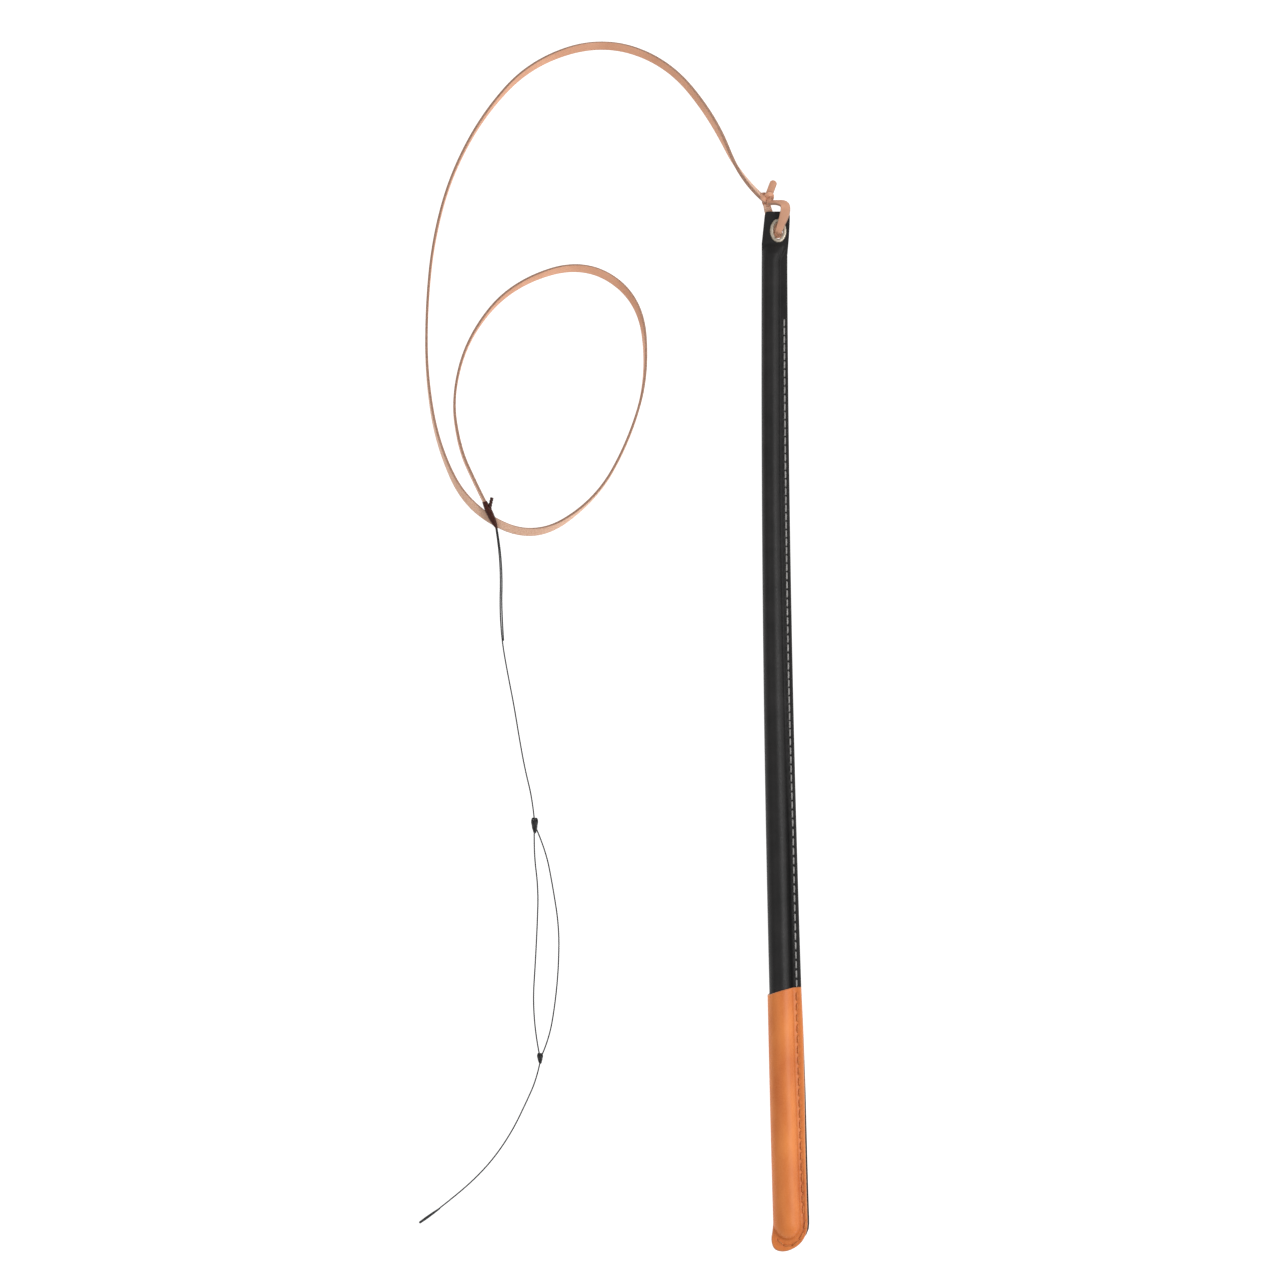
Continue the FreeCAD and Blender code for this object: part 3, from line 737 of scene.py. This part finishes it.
def ridges(sides, lobes, count):
    """How far out each vertex of a plied section lies, from 0 to 1, used as painted light and shade."""
    return [0.5 + 0.5 * math.cos(lobes * math.tau * k / sides) for k in range(sides)] * count


def plied(name, runs, diameter, material, twist, step, sides=12):
    """One object of twisted thread along each of the given lines of points."""
    section = round_section(diameter, sides, PLIES, 0.22)
    parts, values = [], []
    for points in runs:
        rings = swept(spaced(points, step), section, turn=lambda run: 360 * run / twist)
        parts.append(skin(rings))
        values += ridges(sides, PLIES, len(rings))
    made = mesh_object(name, *joined(parts), material)
    point_value(made, "painted_ply_light", values)
    return made


def thread_cord(name, route, node_name, material):
    """A length of the cracker's thread along its route, and the line that it follows."""
    path = spline_points(route)
    made = plied(name, [path], STRAND, material, THREAD_TWIST, THREAD_STEP)
    return place(made, "cracker", "cracker_thread", node_name), path


def wound(name, route, radii, diameter, material):
    """Thread wound closely round a straight core, whose outside has the given radii."""
    start = Vector(route[0])
    whole = Vector(route[1]) - start
    side = whole.cross(Vector((0, 0, 1))).normalized()
    top = side.cross(whole.normalized())
    keys = [(i / (len(radii) - 1), radius) for i, radius in enumerate(radii)]
    steps = int(whole.length / (diameter * 0.98)) * WINDING_SIDES
    helix = []
    for k in range(steps + 1):
        angle = math.tau * k / WINDING_SIDES
        radius = max(on_keys(keys, k / steps) - diameter / 2, 0.1 * MM)
        out = side * math.cos(angle) + top * math.sin(angle)
        helix.append(start + whole * (k / steps) + out * radius)
    rings = swept(helix, round_section(diameter, 8), up=whole)
    core = []
    for k in range(WINDING_CORE_STEPS + 1):
        share = k / WINDING_CORE_STEPS
        radius = max(on_keys(keys, share) - diameter * 0.45, 0.1 * MM)
        section = round_section(2 * radius, WINDING_SIDES)[::-1]
        core.append(ring(start + whole * share, section, side, top))
    made = mesh_object(name, *joined([skin(rings), skin(core)]), material)
    # Painted shade: the core under the winding takes the thread's dark groove colour.
    point_value(made, "painted_ply_light", [1.0] * (len(rings) * 8) + [0.0] * (len(core) * WINDING_SIDES))
    return made


def knot_core(centre, half_sizes):
    """Rings of a body inside a thread knot, so that nothing shows through it."""
    wide, long, high = [KNOT_CORE * half for half in half_sizes]
    rings = []
    for k in range(1, 12):
        angle = math.pi * k / 12
        middle = Vector(centre) - Vector((0, long * math.cos(angle), 0))
        across = Vector((wide * math.sin(angle), 0, 0))
        rings.append(ring(middle, round_section(2, 12), across, Vector((0, 0, high * math.sin(angle)))))
    return rings


def thread_knot(name, knot, node_name, material):
    """An overhand knot of the cracker's thread, pulled tight."""
    rings = knot_rings(overhand_path(*knot, STRAND / 2), round_section(STRAND * 1.2, 10), 0.0)
    core = knot_core(*knot)
    made = mesh_object(name, *joined([skin(rings, closed_ends=False), skin(core)]), material)
    # Painted shade: the core inside the knot takes the thread's dark groove colour.
    point_value(made, "painted_ply_light", ridges(10, 2, len(rings)) + [0.0] * (12 * len(core)))
    return place(made, "cracker", "cracker_thread", node_name)


# ---- stock: shapes

def bow(y):
    """X of the stock's axis."""
    return BOW_DEPTH + BOW_CURVE * (y - BOW_MIDDLE) ** 2


def rod_radius(y):
    """The rod tapers from the butt to the tip."""
    return on_keys(ROD_RADIUS, y)


def rod_middle(y):
    """X of the rod's centre: the sheath's left side runs straight on while the rod tapers."""
    return bow(y) + on_keys(ROD_SHIFT, y)


def flange_edge(y):
    """X of the black seam flange's free edge."""
    return bow(y) + on_keys(FLANGE_REACH, y)


def laid(x, y, z):
    """From the level drawing of the stock to the way it lies, pressed flat on the floor."""
    angle = math.atan(AXIS_SLOPE)
    height = AXIS_HEIGHT + z * math.cos(angle) - y * math.sin(angle)
    return Vector((x, y * math.cos(angle) + z * math.sin(angle), max(height, FLOOR_GAP)))


def blended(a, b, width):
    """The larger of two heights, rounded over where they meet."""
    share = max(width - abs(a - b), 0.0) / width
    return max(a, b) + share * share * width / 4


def fold(beyond, radius):
    """Height of a round fillet over the flange, at a place beyond where the tube meets it."""
    inside = FOLD_START * radius - beyond
    if inside <= 0:
        return 0.0
    return radius - math.sqrt(max(radius * radius - inside * inside, 0.0))


@dataclass
class Rib:
    """A line across a cover from its middle to its outline, with what decides its height there.

    valley is the share of the way out at which the tube meets the flange, and flange is 1 where
    there is a flange and 0 where the tube itself is the edge. fold is the fillet between the two.
    slot and inset shape the edge, drop lowers the rib; the last two are painted shade at seam and fold.
    """

    middle: Vector
    outline: Vector
    valley: float
    flange: float
    fold: float
    slot: float = 0.12
    inset: float = 0.25 * MM
    drop: float = 0.0
    seam_shade: float = 0.0
    fold_shade: float = 0.0


def rib_places(rib):
    """Shares of the way out: close together near the valley and near the edge."""
    inner = [rib.valley * math.sin(math.pi / 2 * k / TUBE_POINTS) for k in range(TUBE_POINTS)]
    outer = [rib.valley + (1 - rib.valley) * math.sin(math.pi / 2 * k / FLANGE_POINTS)
             for k in range(FLANGE_POINTS + 1)]
    return inner + outer


def rib_line(rib, tube, thickness, dents):
    """Points of the upper side along a rib, level, ending on the mid plane."""
    line = []
    span = rib.outline - rib.middle
    if rib.drop and not rib.flange:
        span = span * (1 - rib.drop / span.length)
    for share in rib_places(rib):
        spot = rib.middle + span * share
        out = between(share, rib.valley, 1.0)
        rim = max((1 - out ** 8) ** 0.125, rib.slot)
        flat = max(thickness * rim - (rib.drop if rim > 0.5 else 0.0), 0.0) * rib.flange
        flat += fold((share - rib.valley) * span.length, rib.fold) * rib.flange
        high = max(tube(spot) - rib.drop, 0.0)
        height = blended(high, flat, VALLEY_ROUNDING)
        height -= dents(spot) * min(1.0, rim * rib.flange + (1 - rib.flange))
        line.append((spot, max(height, 0.0)))
    last = rib.middle + span - span.normalized() * (rib.inset * rib.flange)
    return line + [(last, 0.0)]


def crease_shade(rib, share):
    """Painted shade where the tube meets the flange, and outside the seam."""
    in_fold = max(0.0, 1 - abs(share - rib.valley) / FOLD_SHADE_REACH) * rib.fold_shade
    by_seam = max(0.0, 1 - abs(share - (1 + rib.valley) / 2) / SEAM_SHADE_REACH) * rib.seam_shade
    return max(in_fold, by_seam) * rib.flange


def cover_mesh(name, ribs, tube, thickness, dents, material, shift=lambda spot: 0.0):
    """A cover from its ribs: upper side, edge and mirrored lower side, in one skin."""
    vertices, faces, edge, painted_crease_shade = [], [], [], []
    per = 2 * (TUBE_POINTS + FLANGE_POINTS + 1) + 1
    for rib in ribs:
        line = rib_line(rib, tube, thickness, dents)
        for spot, height in line + [(spot, -height) for spot, height in line[-2::-1]]:
            vertices.append(laid(spot.x, spot.y + shift(spot), height))
        share = rib_places(rib) + [1.0]
        rim = [eased(between(s, rib.valley, 1.0), 0.86, 0.99) * rib.flange for s in share]
        shade = [crease_shade(rib, s) for s in share]
        if rib.drop:
            rim = [1.0] * len(share)
        edge += rim + rim[-2::-1]
        painted_crease_shade += shade + shade[-2::-1]
    for i in range(len(ribs) - 1):
        for k in range(per - 1):
            a = i * per + k
            faces.append((a, a + 1, a + per + 1, a + per))
    made = mesh_object(name, vertices, faces, material)
    point_value(made, "edge", edge)
    # Painted shade in each rib's fold and beside its seam, for the material to read.
    point_value(made, "painted_crease_shade", painted_crease_shade)
    merged(made)
    return made


# ---- stock: seams

def shaft_stitches():
    """Middle and heading of each stitch along the shaft."""
    places = []
    for i in range(SHAFT_STITCHES):
        y = on_keys(SHAFT_SEAM, i)
        x = bow(y) + on_keys(SHAFT_SEAM_REACH, y)
        places.append((x, y, 90 - math.degrees(2 * BOW_CURVE * (y - BOW_MIDDLE))))
    return places


def grip_stitches():
    """Middle and heading of each stitch down the grip's flange and round the butt."""
    places = []
    for i in range(GRIP_STITCHES):
        y = GRIP_SEAM - i * GRIP_PITCH
        places.append((bow(y) + GRIP_SEAM_REACH, y, 90.0))
    across, along = BUTT_SEAM_HALF
    for i in range(BUTT_STITCHES):
        angle = math.radians(-16 - 26 * i)
        slope = math.atan2(along * math.cos(angle), -across * math.sin(angle))
        place_on = (BUTT_SEAM[0] + across * math.cos(angle), BUTT_SEAM[1] + along * math.sin(angle))
        places.append((*place_on, math.degrees(slope)))
    return places


def along_stitch(place_on, length, share):
    """Spot in plan on a stitch, from -1 at one end to 1 at the other."""
    x, y, heading = place_on
    angle = math.radians(heading)
    return Vector((x, y)) + Vector((math.cos(angle), math.sin(angle))) * (length / 2 * share)


def stitch_ends(places, length):
    """The holes that the stitches' thread goes down, in plan."""
    return [along_stitch(place_on, length, share) for place_on in places for share in (1, -1)]


def dented_by(holes, depth, reach):
    """Function of a place: how far the thread there pulls the leather in."""
    tree = kdtree.KDTree(len(holes))
    for i, hole in enumerate(holes):
        tree.insert((*hole, 0), i)
    tree.balance()

    def dent(spot):
        distance = tree.find((*spot, 0))[2]
        ripple = RIPPLE * noise.noise(Vector((spot.x * 90, spot.y * 45, 3.0)))
        return depth * math.exp(-((distance / reach) ** 2)) + ripple

    return dent


def seam_thread(name, places, length, base, side, slot, node_name, material):
    """A row of stitches: thread that rises from one hole and goes down the next."""
    runs = []
    for place_on in places:
        line = []
        for k in range(9):
            share = k / 4 - 1
            level = base + THREAD_RISE * (1 - share ** 4) - THREAD_SINK * share ** 6
            line.append(laid(*along_stitch(place_on, length, share), side * level))
        runs.append(line)
    made = plied(name, runs, SEAM_THREAD, material, SEAM_TWIST, SEAM_STEP, sides=9)
    return place(made, "stock", slot, node_name)


# ---- stock: covers and eyelet

def sheath_round(y):
    """Middle, half width and half height of the sheath's tube and its shoulder."""
    radius = rod_radius(y) + BLACK_LEATHER
    middle = rod_middle(y)
    if y < SHOULDER[0][0]:
        return middle, radius, radius * (1 - eased(-y, *BUTT_CLOSING))
    keys = [(SHOULDER[0][0], middle, radius, radius), *SHOULDER[1:]]
    return tuple(on_keys([(key[0], key[i]) for key in keys], y) for i in (1, 2, 3))


def sheath_tube(spot):
    """Height of the sheath where it wraps the rod."""
    middle, wide, high = sheath_round(spot.y)
    across = (spot.x - middle) / wide
    return high * math.sqrt(max(0.0, 1 - across * across))


def sheath_left(y):
    """Left outline of the sheath: the tube's side, then the flat tip's edge."""
    if y < TIP_LEFT[0][0]:
        middle, wide, _ = sheath_round(y)
        return middle - wide
    return on_keys(TIP_LEFT, y)


def sheath_right(y):
    """Right outline of the sheath: the seam flange, then the flat tip's edge."""
    if y > TIP_RIGHT[0][0]:
        return on_keys(TIP_RIGHT, y)
    if y > -BUTT_RIGHT[0][0]:
        return flange_edge(y)
    return grip_right(y) + on_keys(BLACK_SHOWING_BUTT, y)


def sheath_ribs():
    """Ribs up the right side, round the tip and down the left side."""
    ys = [SHEATH_END + k * COARSE_STEP for k in range(int((GRIP_TOP - SHEATH_END) / COARSE_STEP))]
    ys += [GRIP_TOP + k * FINE_STEP for k in range(int((EYELET_Y - GRIP_TOP) / FINE_STEP))]
    right, left = [], []
    for y in ys:
        middle, wide, _ = sheath_round(y)
        middle += (EYELET_X - middle) * eased(y, 274 * MM, EYELET_Y)
        flat = eased(y, *TIP_FLATTENING)
        edge_right, edge_left = sheath_right(y), sheath_left(y)
        valley = 0.97 * wide / (edge_right - middle) * (1 - flat) + 0.84 * flat
        # Painted shade in the fold beside the flange, strongest towards the grip.
        dark = 0.15 + 0.85 * eased(-y, -20 * MM, 110 * MM)
        centre = Vector((middle, y))
        right.append(Rib(centre, Vector((edge_right, y)), min(valley, 0.9), 1.0, BLACK_FOLD * (1 - flat),
                         fold_shade=dark * (1 - flat)))
        left.append(Rib(centre, Vector((edge_left, y)), 0.94 - 0.1 * flat, flat, 0.0))
    outline = spaced(spline_points([(x, y, 0) for x, y in TIP_OUTLINE]), 0.6 * MM)
    round_tip = [Rib(Vector((EYELET_X, EYELET_Y)), point.xy, 0.84, 1.0, 0.0) for point in outline]
    return right + round_tip + left[::-1]


def eyelet_hole(cover):
    """Cuts the eyelet's oval hole through the flat tip."""
    cutter = bmesh.new()
    size = (EYELET_HOLE[0] + EYELET_WALL, EYELET_HOLE[1] + EYELET_WALL, 30 * MM)
    fit = Matrix.LocRotScale((EYELET_X, EYELET_Y, AXIS_HEIGHT), None, size)
    bmesh.ops.create_cone(cutter, cap_ends=True, segments=48, radius1=1, radius2=1, depth=1, matrix=fit)
    mesh = bpy.data.meshes.new("cutter")
    cutter.to_mesh(mesh)
    cutter.free()
    tool = in_scene("cutter", mesh)
    cut = cover.modifiers.new("eyelet", "BOOLEAN")
    cut.operation = "DIFFERENCE"
    cut.solver = "EXACT"
    cut.object = tool
    bpy.context.view_layer.update()
    shape = bpy.data.meshes.new_from_object(cover.evaluated_get(bpy.context.evaluated_depsgraph_get()))
    cover.modifiers.clear()
    cover.data = shape
    bpy.data.objects.remove(tool)


def merged(cover):
    """Joins the two sides' vertices along the middle."""
    skin_mesh = bmesh.new()
    skin_mesh.from_mesh(cover.data)
    bmesh.ops.remove_doubles(skin_mesh, verts=skin_mesh.verts, dist=0.01 * MM)
    bmesh.ops.recalc_face_normals(skin_mesh, faces=skin_mesh.faces)
    skin_mesh.to_mesh(cover.data)
    skin_mesh.free()


def sheath(material):
    """Black sheath, folded round the rod and sewn along its right side."""
    dent = dented_by(stitch_ends(shaft_stitches(), SHAFT_STITCH), 0.42 * MM, 0.75 * MM)
    made = cover_mesh("sheath", sheath_ribs(), sheath_tube, BLACK_LEATHER, dent, material)
    eyelet_hole(made)
    made.data.shade_smooth()
    return place(made, "stock", "black_leather", "shaft_cover")


def grip_tube(spot):
    """Height of the tan cover: tube, and dome over the butt."""
    radius = rod_radius(spot.y) + BOTH_LEATHERS
    across = (spot.x - rod_middle(spot.y)) / radius
    beyond = max(0.0, DOME_START - spot.y) / DOME_LENGTH
    return radius * math.sqrt(max(0.0, 1 - across * across - beyond * beyond))


def grip_right(y):
    """Right outline of the tan cover."""
    if y > -BUTT_RIGHT[0][0]:
        return flange_edge(y) - on_keys(BLACK_SHOWING, y)
    return on_keys(BUTT_RIGHT, -y)


def grip_ribs():
    """Ribs down the left side, round the butt and up the right side, with a rolled top edge."""
    steps = int((GRIP_TOP - DOME_START) / FINE_STEP)
    ys = [GRIP_TOP - 0.3 * MM - (GRIP_TOP - DOME_START - 0.3 * MM) * k / steps for k in range(steps)]
    rows = [(GRIP_TOP - 9 * MM, TAN_LEATHER), (GRIP_TOP, TAN_LEATHER), (GRIP_TOP, 0.3 * MM)]
    rows += [(y, 0.0) for y in ys]
    right, left = [], []
    for y, drop in rows:
        middle = rod_middle(y)
        radius = rod_radius(y) + BOTH_LEATHERS
        edge = grip_right(y)
        valley = 0.95 * radius / (edge - middle)
        sewn = 1 - eased(-y, *BUTT_CLOSING)
        slot, inset = 0.12 + 0.4 * sewn, (0.3 + 2.2 * sewn) * MM
        # Painted shade outside the seam, strongest near the butt, and a little in the fold.
        seam_shade = 0.15 + 0.75 * eased(-y, 235 * MM, 275 * MM)
        centre = Vector((middle, y))
        right.append(Rib(centre, Vector((edge, y)), valley, 1.0, TAN_FOLD, slot, inset, drop, seam_shade, 0.3))
        left.append(Rib(centre, Vector((middle - radius, y)), 0.93, 0.0, TAN_FOLD, drop=drop))
    outline = spaced(spline_points([(x, y, 0) for x, y in BUTT_OUTLINE]), 0.7 * MM)
    centre = Vector((rod_middle(DOME_START), DOME_START))
    radius = rod_radius(DOME_START) + BOTH_LEATHERS
    round_butt = []
    for point in outline:
        reach = (point.xy - centre).length
        direction = (point.xy - centre) / reach
        dome = 0.95 / math.hypot(direction.x / radius, direction.y / DOME_LENGTH)
        flange = eased(-point.y, 283.6 * MM, 288 * MM) if point.x < 0 else 1.0
        right_side = eased(point.x, -4 * MM, 6 * MM) * (1 - eased(-point.y, 286 * MM, 296 * MM))
        valley = min(dome / reach, 0.93)
        slot, inset = 0.12 + 0.4 * right_side, (0.3 + 2.2 * right_side) * MM
        soft = TAN_FOLD * (1 - 0.5 * eased(-point.y, 283.5 * MM, 291 * MM))
        # Painted shade outside the seam round the butt, strongest on its right side.
        seam_shade = 0.25 + 0.65 * right_side
        round_butt.append(Rib(centre, point.xy, valley, flange, soft, slot, inset, 0.0, seam_shade, 0.3))
    return left + round_butt + right[::-1]


def top_slant(spot):
    """The grip's top edge curves down towards the left; the rows below it straighten out."""
    curve = GRIP_TOP_CURVE * max(0.0, GRIP_TOP_RIGHT - spot.x) ** 2
    return -curve * (1 - eased(-spot.y, -GRIP_TOP, -SLANT_END))


def grip(material):
    """Tan cover over the sheath, with its butt closed by the flange."""
    dent = dented_by(stitch_ends(grip_stitches(), GRIP_STITCH), 0.5 * MM, 0.8 * MM)
    made = cover_mesh("grip", grip_ribs(), grip_tube, BOTH_LEATHERS, dent, material, top_slant)
    return place(made, "stock", "tan_leather", "grip_cover")


def eyelet_ring(name, profile, material, node_name):
    """An oval ring from a profile of (distance out from the hole, height above the mid plane)."""
    rings = []
    for k in range(EYELET_SIDES + 1):
        angle = math.tau * (k % EYELET_SIDES) / EYELET_SIDES
        rings.append([
            laid(EYELET_X + (EYELET_HOLE[0] + out) * math.cos(angle),
                 EYELET_Y + (EYELET_HOLE[1] + out) * math.sin(angle), height)
            for out, height in profile
        ])
    made = mesh_object(name, *skin(rings, closed_ends=False), material)
    merged(made)
    return place(made, "stock", "eyelet_metal", node_name)


def eyelet(material):
    """Front ring with a rounded face and a barrel rolled over the washer at the back."""
    leather, wall = BLACK_LEATHER, EYELET_WALL
    front = [(0, leather), (0.15 * MM, leather + 0.4 * MM), (0.6 * MM, leather + 0.62 * MM),
             (1.2 * MM, leather + 0.62 * MM), (1.8 * MM, leather + 0.42 * MM),
             (EYELET_FLANGE, leather + 0.02 * MM), (wall, leather + 0.02 * MM)]
    back = -leather - EYELET_THICKNESS
    barrel = [(wall, back), (wall + 0.7 * MM, back - 0.1 * MM), (wall + 0.5 * MM, back - 0.35 * MM),
              (0.1 * MM, back - 0.3 * MM), (0, back)]
    eyelet_ring("eyelet_ring", front + barrel, material, "eyelet")
    washer = [(wall + 0.02 * MM, -leather), (EYELET_FLANGE, -leather), (EYELET_FLANGE, back + 0.15 * MM),
              (EYELET_FLANGE - 0.2 * MM, back), (wall + 0.02 * MM, back)]
    eyelet_ring("eyelet_back_ring", washer, material, "eyelet_washer")


# ---- the whole

def stock():
    """Rod, covers, seams and eyelet."""
    rod_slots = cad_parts["core_rod"].data.materials
    rod_slots.clear()
    rod_slots.append(cane())
    sheath(black_leather())
    grip(tan_leather())
    metal = eyelet_metal()
    eyelet(metal)
    # Thread colours: the painted groove shade, then the lit ridge colour.
    grey = thread("grey_thread", srgb(112, 110, 108), srgb(208, 206, 203), 0.55)
    tan = thread("tan_thread", srgb(186, 98, 46), srgb(246, 160, 92), 0.55)
    black_top = BLACK_LEATHER - 0.1 * MM
    tan_top = BOTH_LEATHERS - 0.15 * MM
    for end, side in (("front", 1), ("back", -1)):
        seam_thread("shaft_stitches_" + end, shaft_stitches(), SHAFT_STITCH, black_top, side,
                    "grey_thread", "shaft_thread_" + end, grey)
        seam_thread("grip_stitches_" + end, grip_stitches(), GRIP_STITCH, tan_top, side,
                    "tan_thread", "grip_thread_" + end, tan)


def thong_and_cracker():
    """The lace, the cracker's thread, and what ties them."""
    leather = lace_leather()
    # Thread colours: the painted groove shade, then the lit ridge colour.
    charcoal = thread("cracker_thread", srgb(24, 24, 25), srgb(66, 66, 67), 0.5)
    binding = thread("binding_thread", srgb(30, 9, 5), srgb(78, 30, 18), 0.5)
    lace, lace_path = long_lace(leather)
    loop, loop_path = loop_piece(leather)
    stub = stub_piece(leather)
    knot = lace_knot(leather)
    hitch = wound("hitch", HITCH_ROUTE, HITCH_RADII, 0.75 * MM, binding)
    place(hitch, "thong", "binding_thread", "cracker_hitch")
    hitch_end = plied("hitch_end", [spline_points(HITCH_END_ROUTE)], 2.2 * MM, binding, 5 * MM, 0.25 * MM)
    place(hitch_end, "thong", "binding_thread", "cracker_hitch_end")

    threads = [thread_cord(*row, charcoal) for row in (
        ("cracker_lead", LINE_ROUTE, "cracker_line"),
        ("cracker_short", SHORT_END_ROUTE, "cracker_short_end"),
        ("cracker_left", LEFT_ROUTE, "cracker_strand_left"),
        ("cracker_right", RIGHT_ROUTE, "cracker_strand_right"),
        ("cracker_end", TAIL_ROUTE, "cracker_tail"),
    )]
    upper = thread_knot("knot_upper", UPPER_KNOT, "cracker_knot_upper", charcoal)
    lower = thread_knot("knot_lower", LOWER_KNOT, "cracker_knot_lower", charcoal)
    whipping = wound("whipping", WHIPPING_ROUTE, WHIPPING_RADII, 0.35 * MM, charcoal)
    place(whipping, "cracker", "cracker_thread", "cracker_whipping")


camera()
thong_and_cracker()
stock()
lights()
floor()
